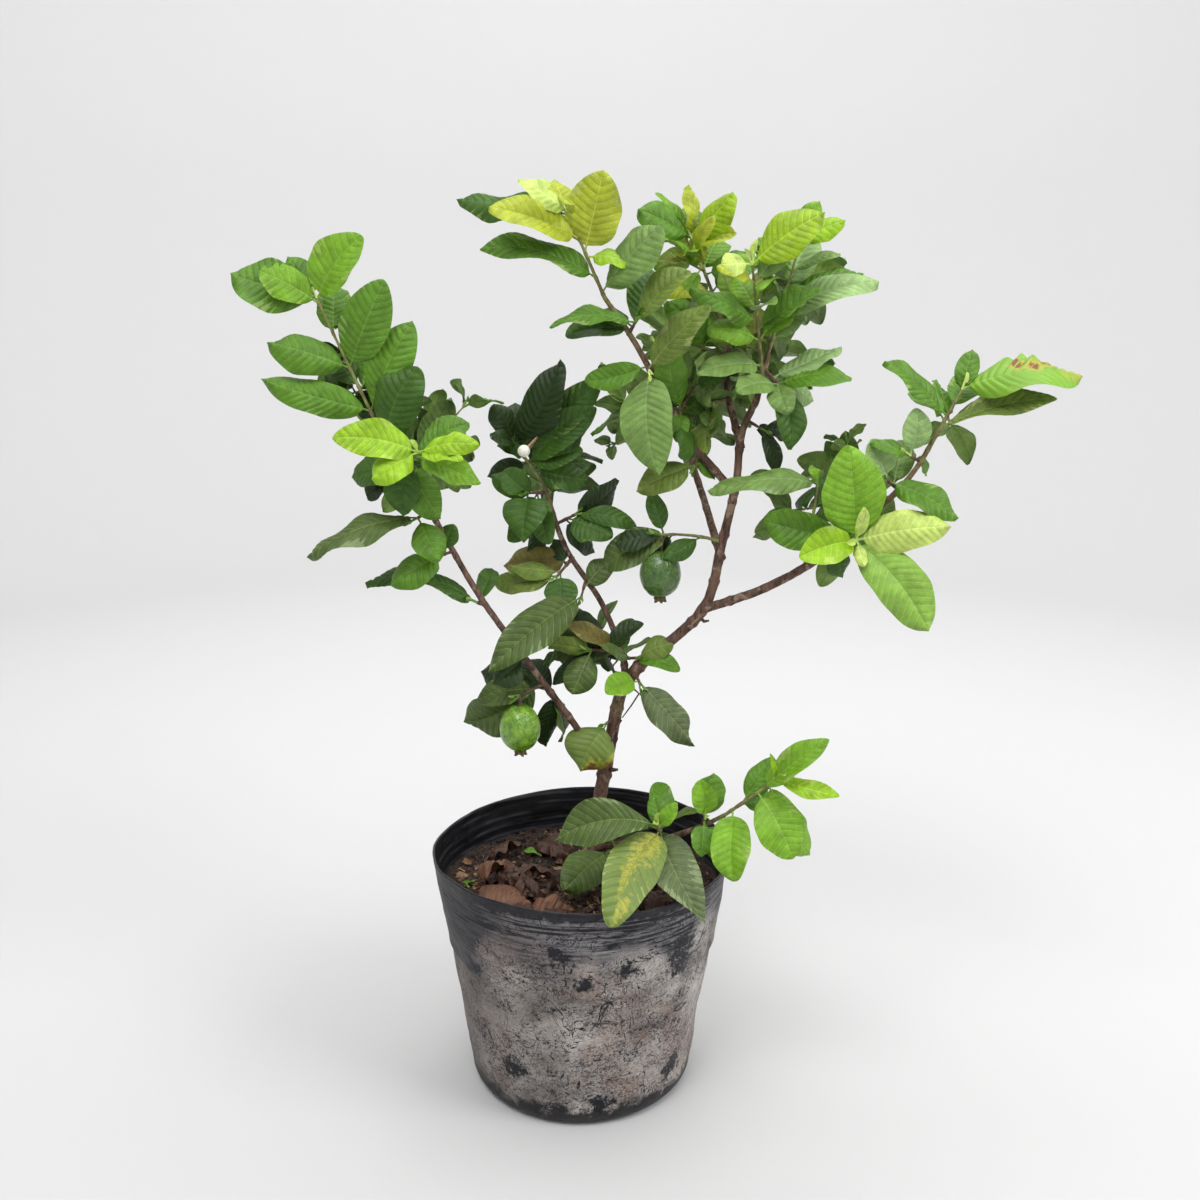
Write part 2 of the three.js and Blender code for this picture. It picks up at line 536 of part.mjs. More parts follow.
// A limb grown by a clearance, or as it is with none.
function limbSolid(name, clearance) {
  const curve = limbCurve(name);
  const count = (LIMBS[name].route.length - 1) * STEPS_PER_WAYPOINT;
  const points = Array.from({ length: count + 1 }, (_, i) => curve.getPoint(i / count));
  const ends = [points[0].clone().sub(points[1]), points[count].clone().sub(points[count - 1])];
  points[0].addScaledVector(ends[0].normalize(), clearance);
  points[count].addScaledVector(ends[1].normalize(), clearance);
  const sides = name === "trunk" ? TRUNK_SIDES : LIMB_SIDES;
  return tube(points, (t, angle) => limbRadius(name, t, angle) + clearance, sides);
}

// The place on a rising limb at a height, by halving.
function limbPoint(name, height) {
  const curve = limbCurve(name);
  if (height === END) return curve.getPoint(1);
  let low = 0;
  let high = 1;
  for (let i = 0; i < 40; i += 1) {
    const middle = (low + high) / 2;
    if (curve.getPoint(middle).z < height) low = middle;
    else high = middle;
  }
  return curve.getPoint(low);
}

// ---- stems and leaves ----------------------------------------------------------------------
// A stem is a chain of equal steps whose heading swings evenly by its bow.
function stemPoints(start, stem) {
  const steps = stem.bow === 0 ? 1 : BOWED_STEPS;
  const points = [start.clone()];
  for (let i = 0; i < steps; i += 1) {
    const heading = stem.heading + stem.bow * ((i + 0.5) / steps);
    points.push(along(points[i], pointing(heading, stem.lean), stem.length / steps));
  }
  return points;
}

function onStem(points, share) {
  const steps = points.length - 1;
  const place = Math.min(share, 1) * steps;
  const step = Math.min(Math.floor(place), steps - 1);
  return points[step].clone().lerp(points[step + 1], place - step);
}

// Places along a leaf blade, each with its share of the full width.
const BLADE_STATIONS = [[0.3, 0.96], [0.76, 0.86]];

// A leaf: a stalk and a blade that bends back evenly, so that its midrib is an arc. Its length
// and direction are the arc's chord, from the root to the tip.
function leafSolid(root, leaf) {
  const { direction, normal, length, width, bend, twist } = leaf;
  const flat = direction.clone().cross(normal).normalize();
  const side = flat.clone().applyAxisAngle(direction, rad(twist));
  const half = rad(bend) / 2;
  const start = direction.clone().applyAxisAngle(side, half);
  const up = side.clone().cross(start).normalize();
  const radius = length / (2 * Math.sin(half));
  const thick = LEAF_THICK + length / 100;
  const vertices = [];
  const ring = (centre, outward, wide, high) => {
    [along(centre, side, -wide), along(centre, outward, high), along(centre, side, wide)]
      .forEach((p) => vertices.push(p.x, p.y, p.z));
  };
  const spine = (s) => {
    const turn = 2 * half * s;
    return along(along(root, start, radius * Math.sin(turn)), up, -radius * (1 - Math.cos(turn)));
  };
  ring(along(root, up, -PETIOLE_HALF / 2), up, PETIOLE_HALF, PETIOLE_HALF * 1.6);
  BLADE_STATIONS.forEach(([s, share]) => {
    const place = PETIOLE / length + (1 - PETIOLE / length) * s;
    const outward = up.clone().multiplyScalar(Math.cos(2 * half * place))
      .addScaledVector(start, Math.sin(2 * half * place));
    ring(spine(place), outward, (share * width) / 2, thick);
  });
  const tip = spine(1);
  vertices.push(tip.x, tip.y, tip.z);
  const triangles = [0, 2, 1];
  const rings = BLADE_STATIONS.length + 1;
  for (let i = 0; i < rings; i += 1) {
    for (let k = 0; k < 3; k += 1) {
      const a = i * 3 + k;
      const b = i * 3 + ((k + 1) % 3);
      if (i === rings - 1) triangles.push(a, b, rings * 3);
      else triangles.push(a, b, b + 3, a, b + 3, a + 3);
    }
  }
  return solidFrom(vertices, triangles);
}

// A hanging fruit: a rounded body with a short neck above and a small calyx below.
function fruitSolid(top) {
  const rise = FRUIT_LENGTH / 2;
  const profile = [[0, -rise - CALYX], [4, -rise - CALYX], [3, -rise]];
  for (let i = 1; i < FRUIT_RINGS; i += 1) {
    const angle = Math.PI * (i / FRUIT_RINGS) * 0.94 + 0.1;
    profile.push([(FRUIT_WIDTH / 2) * Math.sin(angle), -rise * Math.cos(angle)]);
  }
  profile.push([2.2, rise], [0, rise]);
  const outline = profile.map(([radius, z]) => new THREE.Vector2(radius, z));
  const body = new THREE.LatheGeometry(outline, FRUIT_SIDES).rotateX(Math.PI / 2);
  return solidOf(body.translate(top.x, top.y, top.z - rise));
}

// ---- a mass: one stem, its side twigs, its leaves and its fruit -----------------------------
const TWIST_TRIES = [0, 22, -22, 40, -40, 60, -60];
const SWING_TRIES = [0, 0, 0, 8, -8, 16, -16];

function leafShape(leaf, stem, swing, twist) {
  const direction = pointing(leaf.heading + swing, leaf.lean);
  const face = facing(stem.tilt, stem.turn);
  const normal = face.addScaledVector(direction, -face.dot(direction)).normalize();
  return { ...leaf, direction, normal, twist: leaf.twist + twist };
}

// Every leaf that the stem's rule asks for, as its root and what it is made from.
function leavesOnStem(points, stem, random) {
  const leaves = [];
  for (let i = 0; i < stem.pairs; i += 1) {
    const share = stem.pairs > 1 ? i / (stem.pairs - 1) : 1;
    const at = stem.first + (stem.last - stem.first) * share ** stem.stretch;
    const heading = stem.heading + stem.bow * at;
    const axis = pointing(heading, stem.lean);
    const across = pointing(heading + 90, 0);
    const front = axis.clone().cross(across);
    const angle = rad(stem.roll + stem.twist * i);
    for (const sign of [1, -1]) {
      const spread = rad(stem.spread + between([-SPREAD_PLAY, SPREAD_PLAY], random()));
      const size = stem.leaf * (1 + (stem.tip - 1) * share) * between(LEAF_SIZE, random());
      const bend = between(LEAF_BEND, random());
      const twist = between([-LEAF_TWIST, LEAF_TWIST], random());
      const outward = across.clone().multiplyScalar(sign * Math.cos(angle))
        .addScaledVector(front, sign * Math.sin(angle));
      const way = axis.clone().multiplyScalar(Math.cos(spread))
        .addScaledVector(outward, Math.sin(spread));
      leaves.push({
        root: onStem(points, at),
        heading: THREE.MathUtils.radToDeg(Math.atan2(way.z, way.x)),
        lean: THREE.MathUtils.radToDeg(Math.asin(-way.y)),
        length: size,
        width: size * stem.plump,
        bend,
        twist,
      });
    }
  }
  return leaves;
}

// Side twigs spiral up the stem; each carries two pairs of smaller leaves.
function twigStems(stem, random) {
  const twigs = [];
  for (let i = 0; i < stem.twigs; i += 1) {
    const at = TWIG_FIRST + (TWIG_RANGE * (i + between([0.3, 0.7], random()))) / stem.twigs;
    const axis = pointing(stem.heading, stem.lean);
    const across = pointing(stem.heading + 90, 0);
    const front = axis.clone().cross(across);
    const angle = rad(TWIG_SPIRAL * i + between([0, 60], random()));
    const outward = across.clone().multiplyScalar(Math.cos(angle))
      .addScaledVector(front, Math.sin(angle));
    const way = axis.clone().multiplyScalar(Math.cos(rad(TWIG_SPREAD)))
      .addScaledVector(outward, Math.sin(rad(TWIG_SPREAD)));
    twigs.push({
      ...stem,
      at,
      heading: THREE.MathUtils.radToDeg(Math.atan2(way.z, way.x)),
      lean: THREE.MathUtils.radToDeg(Math.asin(-way.y)),
      length: stem.length * between(TWIG_LENGTH, random()),
      radius: stem.radius * TWIG_RADIUS,
      leaf: stem.leaf * TWIG_SHARE,
      pairs: 2,
      bow: 0,
    });
  }
  return twigs;
}

const boxesMeet = (a, b) => [0, 1, 2].every((k) => a.min[k] <= b.max[k] && b.min[k] <= a.max[k]);

function meets(solid, others) {
  const box = solid.boundingBox();
  return others.some((other) =>
    boxesMeet(box, other.box) && solid.intersect(other.solid).volume() > 1e-6);
}

const boxed = (solid) => ({ solid, box: solid.boundingBox() });

function stemSolid(points, radius) {
  return tube(points, (t) => radius * (1 - TWIG_TAPER * t), TWIG_SIDES);
}

// A leaf at the first of several twists and swings at which its blade clears the limbs, its own
// stems and the leaves before it, and the whole of it clears the other masses; or null.
function placed(leaf, stem, near, others) {
  for (let i = 0; i < TWIST_TRIES.length; i += 1) {
    const shape = leafShape(leaf, stem, SWING_TRIES[i], TWIST_TRIES[i]);
    const away = along(leaf.root, shape.direction, PETIOLE);
    const whole = leafSolid(leaf.root, shape);
    const free = leafSolid(away, { ...shape, length: leaf.length - PETIOLE });
    if (!meets(free, near) && !meets(whole, others)) return whole;
  }
  return null;
}

function massPlan(name) {
  const { stem: given, blades, fruit } = MASSES[name];
  const stem = { ...STEM_DEFAULTS, ...given };
  const random = stream(stem.seed);
  const start = limbPoint(stem.limb, stem.height);
  const tipWay = pointing(stem.heading, stem.lean);
  if (stem.height === END) start.addScaledVector(tipWay, GAP);
  const points = stemPoints(start, stem);
  const core = [stemSolid(points, stem.radius)];
  if (fruit) {
    const tip = points[points.length - 1];
    const foot = vec(tip.x, tip.y, tip.z - fruit.hang);
    const inFruit = vec(foot.x, foot.y, foot.z - 3);
    core.push(stemSolid([tip, tip.clone().lerp(foot, 0.5), inFruit], FRUIT_STALK));
    core.push(fruitSolid(foot));
  }
  const leaves = blades.map((row) => ({ ...row, root: onStem(points, row.at) }));
  return { name, stem, points, core, random, leaves };
}

function massSolid(plan, limbs, others) {
  const { stem, points, core, random, leaves } = plan;
  const pieces = [...core];
  const ownCore = core.map(boxed);
  const ownLeaves = [];
  const grow = (leaf, ownStems) => {
    const solid = placed(leaf, stem, [...limbs, ...ownLeaves, ...ownStems], others);
    if (!solid) return false;
    ownLeaves.push(boxed(solid));
    pieces.push(solid);
    return true;
  };
  leaves.forEach((leaf) => grow(leaf, ownCore.slice(1)));
  leavesOnStem(points, stem, random).forEach((leaf) => grow(leaf, ownCore.slice(1)));
  twigStems(stem, random).forEach((twig) => {
    const twigPoints = stemPoints(onStem(points, twig.at), twig);
    const solid = stemSolid(twigPoints, twig.radius);
    const wanted = leavesOnStem(twigPoints, twig, random);
    if (meets(solid, [...limbs, ...others, ...ownLeaves])) return;
    const grown = wanted.filter((leaf) => grow(leaf, ownCore));
    if (grown.length > 0) pieces.push(solid);
  });
  let whole = Manifold.union(pieces);
  limbs.filter((limb) => boxesMeet(limb.box, whole.boundingBox()))
    .forEach((limb) => { whole = whole.subtract(limb.solid); });
  const bodies = whole.decompose().sort((a, b) => b.volume() - a.volume());
  return bodies[0];
}

// ---- the whole plant -----------------------------------------------------------------------
const tree = new THREE.Group();

function add(name, solid, finish) {
  const mesh = new THREE.Mesh(geometryOf(solid), finish);
  mesh.name = name;
  tree.add(mesh);
}

add("pot", potSolid(), PLASTIC());
const soil = soilSolid();
add("soil", soil, EARTH());

// Each limb is cut clear of the soil and of the limbs before it.
const ROOT_BLOCK = 80;
const underSoil = solidOf(new THREE.BoxGeometry(ROOT_BLOCK, ROOT_BLOCK, ROOT_BLOCK)
  .translate(10, 38, SOIL_TOP + GAP - ROOT_BLOCK / 2));
const grownLimbs = [];
for (const name of Object.keys(LIMBS)) {
  let solid = limbSolid(name, 0).subtract(underSoil);
  grownLimbs.forEach((grown) => { solid = solid.subtract(grown); });
  const bodies = solid.decompose().sort((a, b) => b.volume() - a.volume());
  add(name, bodies[0], BARK());
  grownLimbs.push(limbSolid(name, GAP));
}

const limbs = grownLimbs.map(boxed);
const ground = [boxed(potSolid()), boxed(soil)];
const plans = Object.keys(MASSES).map(massPlan);
const finished = [];
plans.forEach((plan, index) => {
  const waiting = plans.slice(index + 1).flatMap((other) => other.core.map(boxed));
  const solid = massSolid(plan, limbs, [...ground, ...finished, ...waiting]);
  finished.push(boxed(solid));
  add(`foliage_${plan.name}`, solid, FOLIAGE(index));
});

export default tree;
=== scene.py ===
import math
from functools import cache

import bpy
import numpy as np
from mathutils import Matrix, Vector
from mathutils.kdtree import KDTree


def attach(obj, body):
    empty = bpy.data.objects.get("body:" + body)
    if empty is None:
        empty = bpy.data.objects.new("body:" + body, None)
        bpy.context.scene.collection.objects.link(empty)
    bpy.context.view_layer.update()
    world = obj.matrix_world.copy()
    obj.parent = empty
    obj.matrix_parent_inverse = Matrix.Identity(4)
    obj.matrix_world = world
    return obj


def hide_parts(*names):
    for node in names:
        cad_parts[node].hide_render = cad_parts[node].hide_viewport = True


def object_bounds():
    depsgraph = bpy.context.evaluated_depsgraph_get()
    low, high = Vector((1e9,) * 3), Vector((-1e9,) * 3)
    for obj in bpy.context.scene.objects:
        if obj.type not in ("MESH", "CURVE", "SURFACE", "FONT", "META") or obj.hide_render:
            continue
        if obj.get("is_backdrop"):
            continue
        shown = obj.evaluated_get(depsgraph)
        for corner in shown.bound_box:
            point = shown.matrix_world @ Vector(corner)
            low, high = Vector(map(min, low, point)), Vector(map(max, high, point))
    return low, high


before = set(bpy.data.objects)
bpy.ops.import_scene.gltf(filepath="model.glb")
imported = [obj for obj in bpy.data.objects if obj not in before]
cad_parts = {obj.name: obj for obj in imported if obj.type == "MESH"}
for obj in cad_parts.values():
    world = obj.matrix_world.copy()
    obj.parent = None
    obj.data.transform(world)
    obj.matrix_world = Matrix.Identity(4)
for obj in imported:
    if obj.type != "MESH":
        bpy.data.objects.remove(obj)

CAD_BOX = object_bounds()
MM = 0.001

# ---- driving dimensions, the same as the solids' -----------------------------------------------
GAP = 0.3                         # between parts that lie close and don't touch
POT_HEIGHT = 250
POT_RIM_RADIUS = 150
POT_BASE_RADIUS = 116
POT_WALL = 2.4
POT_FLOOR = 4
POT_FOOT_ROUND = 16
POT_COLLAR_STEP = 2.5
POT_OVAL = 0.012                  # how far the pot is out of round
POT_OVAL_TURN = 0.6
POT_RIM_WAVE = 3                  # how far the rim dips and rises
POT_WAVE_TURN = 0.5
POT_WAVE_START = 215
SOIL_TOP = 210
FLARE = 6                         # the trunk's root flare, and its reach beside the trunk's length
FLARE_REACH = 0.1
FLARE_LOBES = 4
FLARE_LOBE_DEPTH = 0.25
FRUIT_WIDTH = 41
FRUIT_LENGTH = 49
FRUIT_STALK = 1.8
PETIOLE = 6
PETIOLE_HALF = 0.9
LEAF_SIZE = (0.88, 1.12)          # ranges of the rule's draws for a pair of leaves
LEAF_BEND = (20, 55)
LEAF_TWIST = 12
SPREAD_PLAY = 5
BOWED_STEPS = 4
TWIG_TAPER = 0.45
TWIG_FIRST = 0.2                  # where side twigs leave their stem
TWIG_RANGE = 0.65
TWIG_SPREAD = 55
TWIG_SPIRAL = 137.5
TWIG_LENGTH = (0.4, 0.65)         # beside the stem's
TWIG_RADIUS = 0.75
TWIG_SHARE = 0.82
TWIST_TRIES = (0, 22, -22, 40, -40, 60, -60)     # turns that the rule tries for a leaf with no room
SWING_TRIES = (0, 0, 0, 8, -8, 16, -16)
END = -1                          # the height of a stem that goes on from its limb's tip

STEM_DEFAULTS = dict(
    bow=0, radius=1.9, pairs=0, first=0.25, last=1, leaf=80, plump=0.46, spread=58, roll=0, twist=90,
    tilt=40, turn=0, tip=0.8, twigs=0, seed=1, hang=0, bud=(0, 0.35, 0))


def stem(limb, height, heading, lean, length, **more):
    """A stem: its limb and the height where it leaves it, its way, and what its rule needs."""
    given = dict(limb=limb, height=height, heading=heading, lean=lean, length=length)
    return {**STEM_DEFAULTS, **given, **more}


# ---- limbs: radii at base and tip, and waypoints of each centre line -----------------------------
# The waypoints are the solids'. The radii are slimmer, as measured on the photograph.
LIMBS = {
    "trunk": ((7.2, 6.2), (
        (9, 38, 200), (17, 40, 265), (26, 42, 320), (36, 42, 376), (45, 40, 416))),
    "leader": ((6.6, 2.4), (
        (43, 40, 407), (62, 37, 432), (89, 32, 456), (126, 28, 497), (140, 25, 559),
        (152, 22, 619), (156, 20, 668), (170, 15, 706), (178, 11, 745))),
    "bough_left": ((3.9, 2.1), (
        (21, 42, 318), (-4, 30, 366), (-45, 12, 432), (-96, -8, 514), (-137, -30, 599),
        (-164, -35, 642), (-172, -35, 656))),
    "bough_middle": ((3.5, 2.1), (
        (45, 41, 412), (43, 45, 440), (21, 52, 494), (-14, 64, 546), (-32, 70, 596),
        (-38, 72, 614))),
    "bough_upper_left": ((4.1, 2.2), (
        (150, 23, 612), (106, 15, 663), (85, 8, 697), (67, 2, 730), (48, -4, 762), (24, -9, 796))),
    "bough_crown": ((3.8, 2.1), (
        (156, 20, 655), (144, 45, 708), (144, 58, 752), (131, 63, 795))),
    "bough_right": ((4.6, 2.0), (
        (122, 29, 492), (177, 5, 518), (225, -20, 553), (260, -34, 592), (284, -40, 612),
        (309, -42, 643), (326, -44, 676))),
    "bough_back": ((4.3, 2.3), (
        (140, 25, 545), (128, 80, 590), (112, 140, 645), (106, 175, 690))),
    "bough_low": ((3.4, 2.1), (
        (14, 38, 226), (44, 0, 251), (80, -50, 279), (117, -62, 298), (140, -68, 313))),
}


# ---- masses: each one's stem, the tones of its leaves, and the leaves with a row of their own ----
# A leaf's row: where it stands on its stem, heading, lean, length, width, tone, bend, and what it
# has of TRAITS. Bites out of its margin: place along, side, reach and depth. Spots: place along
# and across, reach along and across, and strength.
BEND = 35                         # of a leaf whose row gives none
TORN_TIP = ((0.88, 1, 0.05, 0.5), (0.74, 1, 0.02, 0.3))
NIBBLES = ((0.42, -1, 0.04, 0.3), (0.54, -1, 0.03, 0.4), (0.66, -1, 0.05, 0.25))
NIBBLE_SCARS = (
    (0.42, -0.5, 0.08, 0.35, 1), (0.55, -0.3, 0.07, 0.4, 1), (0.66, -0.6, 0.1, 0.35, 0.9),
    (1, 0, 0.3, 1, 0.6))
RUSTY_EDGE = ((0.85, -0.6, 0.25, 0.5, 0.9), (0.6, -1, 0.3, 0.25, 0.9))
YELLOWED = ((0.15, 0, 0.35, 0.8, 0.55), (0.5, 0.1, 0.3, 0.3, 0.6), (0.85, -0.4, 0.2, 0.5, 0.5))
# Masses inside the plant and at its back take the darkest green tone, which also paints the shade that
# falls there.
MASSES = {
    "left_top": (stem("bough_left", END, 114, -2, 152, tilt=20), "green mature", [
        (1, 50, 2, 69, 44, "fresh"), (1, 163, 4, 78, 50, "green"),
        (0.97, 148, 22, 58, 32, "fresh", BEND, dict(bites=TORN_TIP)), (0.56, 65, 6, 86, 44, "green"),
        (0.56, 161, 8, 76, 38, "green"), (0.28, 63, -2, 90, 42, "green"),
        (0.28, 163, 2, 102, 32, "green", 45), (0.08, 64, 10, 78, 45, "mature"),
        (1, 128, -22, 52, 26, "green"), (0.78, 96, -44, 60, 32), (0.45, 150, -46, 66, 32),
        (0.42, 60, -46, 66, 32), (0.14, 120, -48, 64, 34, "deep")]),
    "left_rosette": (stem("bough_left", 642, 42, 50, 48, tilt=38, bud=(24, 0.9, 70)), "mature green", [
        (1, 169, 12, 76, 36, "bright"), (1, 206, 28, 50, 38, "bright"), (1, 10, 22, 60, 22, "bright"),
        (0.95, 356, 30, 50, 16, "bright"), (0.8, 338, 4, 64, 28, "fresh"),
        (0.7, 32, -4, 60, 34, "green"), (0.45, 196, -16, 62, 34, "mature"),
        (0.5, 262, 6, 52, 34, "mature"), (0.3, 30, -32, 70, 34), (0.35, 300, -2, 60, 34),
        (0.25, 222, -6, 50, 26, "deep")]),
    "left_behind": (stem("bough_left", 618, 100, -64, 108, pairs=4, leaf=68, spread=66, roll=40,
            tilt=40, turn=175, twigs=2, seed=13), "mature green", []),
    "left_spur_high": (stem("bough_left", 602, 205, 20, 13, tilt=50), "mature", [
        (1, 197, 10, 110, 34, "grey", 72, dict(wave=5, waves=1.8)), (1, 302, 26, 48, 34, "green"),
        (0.6, 95, -32, 60, 32)]),
    "left_spur_mid": (stem("bough_left", 562, 190, 40, 11, tilt=55), "mature", [
        (1, 208, 18, 58, 36, "green"), (0.9, 72, 0, 46, 30)]),
    "left_spur_low": (stem("bough_left", 504, 150, 20, 11, tilt=60), "mature", [
        (1, 167, 4, 110, 36, "mature", 60), (0.8, 70, -50, 70, 32)]),
    "left_fork": (stem("bough_left", 418, 195, 34, 30, tilt=22, hang=9), "deep", [
        (0.2, 218, -14, 95, 56, "grey"), (0.3, 172, -24, 66, 34, "deep"),
        (0.3, 196, -8, 66, 28, "grey")]),
    "left_fork_behind": (stem("bough_left", 410, 290, -40, 14, tilt=25, turn=10), "deep grey", [
        (1, 296, -6, 52, 34), (0.8, 262, -22, 70, 26), (0.6, 140, -52, 60, 30)]),
    "left_hook": (stem("bough_left", 440, 110, 30, 12, tilt=30), "deep grey", [
        (1, 216, 20, 42, 34, None, 60), (0.7, 130, -46, 56, 30)]),
    "middle_top": (stem("bough_middle", END, 125, 4, 48, pairs=1, first=0.7, leaf=64, spread=62,
            roll=80, tilt=28, turn=6, seed=21), "deep mature", [
        (1, 61, 10, 98, 46, "deep", 55, dict(sickle=0.09, twirl=30, wave=4)), (0.5, 40, 14, 92, 36),
        (0.9, 34, -16, 88, 30), (0.45, 18, 20, 60, 28, "mature"), (0.3, 352, 6, 56, 32),
        (1, 114, 12, 46, 30, "deep"), (0.6, 150, 22, 34, 22), (0.7, 100, -36, 64, 34),
        (0.3, 60, -44, 66, 34), (0.15, 10, -30, 60, 30), (0.5, 200, -16, 48, 26),
        (0.85, 40, 6, 108, 36, "mature", BEND, dict(wave=4))]),
    "middle_front": (stem("bough_middle", 604, 170, 55, 30, tilt=20), "mature", [
        (1, 264, 30, 52, 46, "mature", BEND, dict(widest=0.34, blunt=0.5, tip=1)),
        (1, 135, 12, 34, 28, "mature"), (0.5, 284, 20, 54, 28, "mature"),
        (0.45, 240, 16, 58, 30, "mature"), (0.2, 264, -12, 92, 20, "deep"), (0.5, 160, -10, 50, 30)]),
    "middle_right": (stem("bough_middle", 572, 30, 20, 24, tilt=40), "deep", [
        (1, 350, 12, 66, 22, "mature", 60), (0.6, 344, 28, 54, 36, "mature"), (0.9, 18, -16, 60, 34),
        (0.5, 308, -20, 52, 30)]),
    "middle_low": (stem("bough_middle", 537, 224, 42, 27, tilt=40), "deep", [
        (0.8, 170, 12, 54, 20, "olive"), (0.8, 276, 30, 38, 34, "mature"),
        (0.2, 186, -14, 72, 36, "bronze"), (1, 189, -6, 66, 30, "olive"), (0.4, 120, -34, 50, 28)]),
    "middle_foot": (stem("bough_middle", 517, 250, 66, 30, tilt=35), "grey", [
        (1, 215, 26, 122, 46, "grey", 30, dict(wave=5, waves=1.5, tip=0.8)),
        (0.5, 40, -10, 44, 26, "grey")]),
    "fork_left": (stem("bough_middle", 444, 170, 26, 34, tilt=48), "deep", [
        (0.2, 146, 18, 64, 22, "bronze"), (1, 244, 26, 50, 34, "grey"), (0.9, 186, 8, 52, 22, "olive"),
        (1, 160, -8, 50, 24, "grey"), (0.5, 204, -34, 66, 34), (0.6, 140, -30, 60, 32),
        (0.1, 162, -10, 74, 34, "deep"), (0.1, 188, -4, 70, 28, "grey"), (0.5, 40, 4, 48, 24, "deep"),
        (0.7, 214, 10, 60, 26, "deep")]),
    "fork_right": (stem("bough_middle", 436, 20, 44, 18, tilt=45), "grey", [
        (1, 24, 10, 42, 26, "olive"), (0.9, 352, 22, 50, 20, "green"), (0.6, 148, 34, 42, 20, "grey")]),
    "fork_low": (stem("leader", 424, 300, 48, 15, tilt=25, turn=10), "grey", [
        (1, 312, 10, 86, 38, "ash", 50, dict(wave=4, tip=1.1, nod=0)),
        (0.8, 190, 30, 40, 28, "fresh")]),
    "fork_behind": (stem("trunk", 404, 126, -64, 96, pairs=4, leaf=60, spread=62, roll=80, tilt=45,
            turn=180, twigs=1, seed=25), "deep mature", [
        (0.4, 22, -40, 62, 30), (0.45, 164, -40, 60, 30)]),
    "middle_behind": (stem("bough_middle", 590, 84, -66, 116, pairs=4, leaf=68, spread=62, roll=10,
            tilt=42, turn=185, twigs=1, seed=27), "deep mature", []),
    "trunk_leaf": (stem("trunk", 372, 180, 60, 16, tilt=6, turn=-10), "olive", [
        (1, 240, 16, 58, 54, "olive", 40, dict(spots=RUSTY_EDGE))]),
    "fruit_spur": (stem("leader", 562, 162, 2, 62, bow=22, tilt=35, hang=14), "deep", [
        (0.95, 108, -10, 44, 20, "mature"), (0.95, 194, -14, 50, 28, "deep"),
        (0.85, 211, -18, 80, 40, "grey"), (0.35, 206, 24, 46, 20, "mature"), (0.8, 240, -34, 50, 26)]),
    "upper_left_top": (stem("bough_upper_left", END, 114, 4, 78, pairs=1, first=0.45, leaf=60, roll=80,
            tilt=40, seed=31, bud=(24, 0.5, 60)), "lime spring", [
        (0.55, 77, 8, 72, 52, "lime", 20, dict(wave=3)), (0.72, 163, 18, 86, 44, "lime"),
        (1, 173, -12, 104, 34, "mature"), (1, 145, 2, 54, 26, "yellow"), (0.06, 47, 16, 80, 42, "sage"),
        (0.25, 166, 6, 108, 30, "green", 45), (0.5, 350, 18, 44, 22, "bright"),
        (1, 112, -24, 38, 20, "lime"), (0.7, 60, -40, 56, 30)]),
    "upper_left_mid": (stem("bough_upper_left", 764, 60, 40, 15, tilt=45), "mature", [
        (1, 181, 10, 80, 24, "green"), (0.3, 186, -2, 60, 30, "mature"), (1, 42, 16, 68, 40, "olive"),
        (0.6, 155, -26, 62, 30), (0.6, 70, -30, 64, 32)]),
    "upper_left_low": (stem("bough_upper_left", 738, 290, 55, 14, tilt=12, turn=-16), "green", [
        (1, 276, 10, 98, 50, "sage", 30, dict(wave=3, sickle=0.06, tip=0.8)),
        (0.8, 48, 22, 84, 32, "olive"), (0.6, 193, -6, 60, 26, "green")]),
    "upper_left_inner": (stem("bough_upper_left", 684, 60, -20, 36, tilt=30, pairs=2, leaf=62, roll=45,
            seed=34), "mature green", [
        (0.3, 262, 30, 52, 30), (1, 200, 10, 60, 32)]),
    "upper_left_foot": (stem("bough_upper_left", 652, 250, 22, 14, tilt=35), "mature green", [
        (1, 203, 8, 62, 34, "olive"), (0.6, 120, 40, 48, 30), (0.8, 330, -50, 40, 24)]),
    "crown_top": (stem("bough_crown", END, 112, -6, 60, pairs=2, first=0.1, last=0.6, leaf=60,
            spread=66, roll=20, tilt=38, tip=1, twigs=1, seed=41), "green fresh lime", [
        (1, 153, 10, 60, 40, "green"), (0.96, 50, 22, 60, 34, "spring"), (1, 78, -2, 50, 24, "lime"),
        (0.98, 122, -16, 58, 14, "fresh"), (0.9, 14, 16, 42, 26), (0.9, 92, -44, 50, 30),
        (0.5, 150, 18, 62, 42), (0.4, 10, 10, 56, 34), (0.5, 60, -50, 60, 32)]),
    "crown_left": (stem("bough_crown", 742, 165, 28, 44, pairs=2, leaf=66, roll=30, tilt=35, seed=42),
        "sage silver green", [
        (1, 228, 14, 60, 38, "sage"), (0.6, 130, 16, 62, 40, "green")]),
    "crown_front": (stem("leader", 722, 100, 22, 112, pairs=3, first=0.35, last=0.85, leaf=58, roll=15,
            tilt=40, tip=0.8, seed=43, bud=(22, 0.5, 20)), "sage fresh lime", [
        (1, 36, 8, 76, 42, "spring"), (1, 180, 20, 30, 24, "yellow"), (0.5, 155, 16, 74, 26, "green"),
        (0.45, 34, 16, 66, 34, "green"), (0.12, 186, 26, 70, 30, "sage")]),
    "crown_right": (stem("leader", END, 76, 3, 102, pairs=2, first=0.45, last=0.75, leaf=56, spread=58,
            roll=60, tilt=45, tip=0.8, twigs=1, seed=44), "sage silver fresh", [
        (1, 66, 6, 40, 22, "fresh"), (1, 26, 12, 44, 24, "bright"),
        (0.35, 19, 10, 94, 38, "silver", 45, dict(blunt=0.6, tip=0.45)),
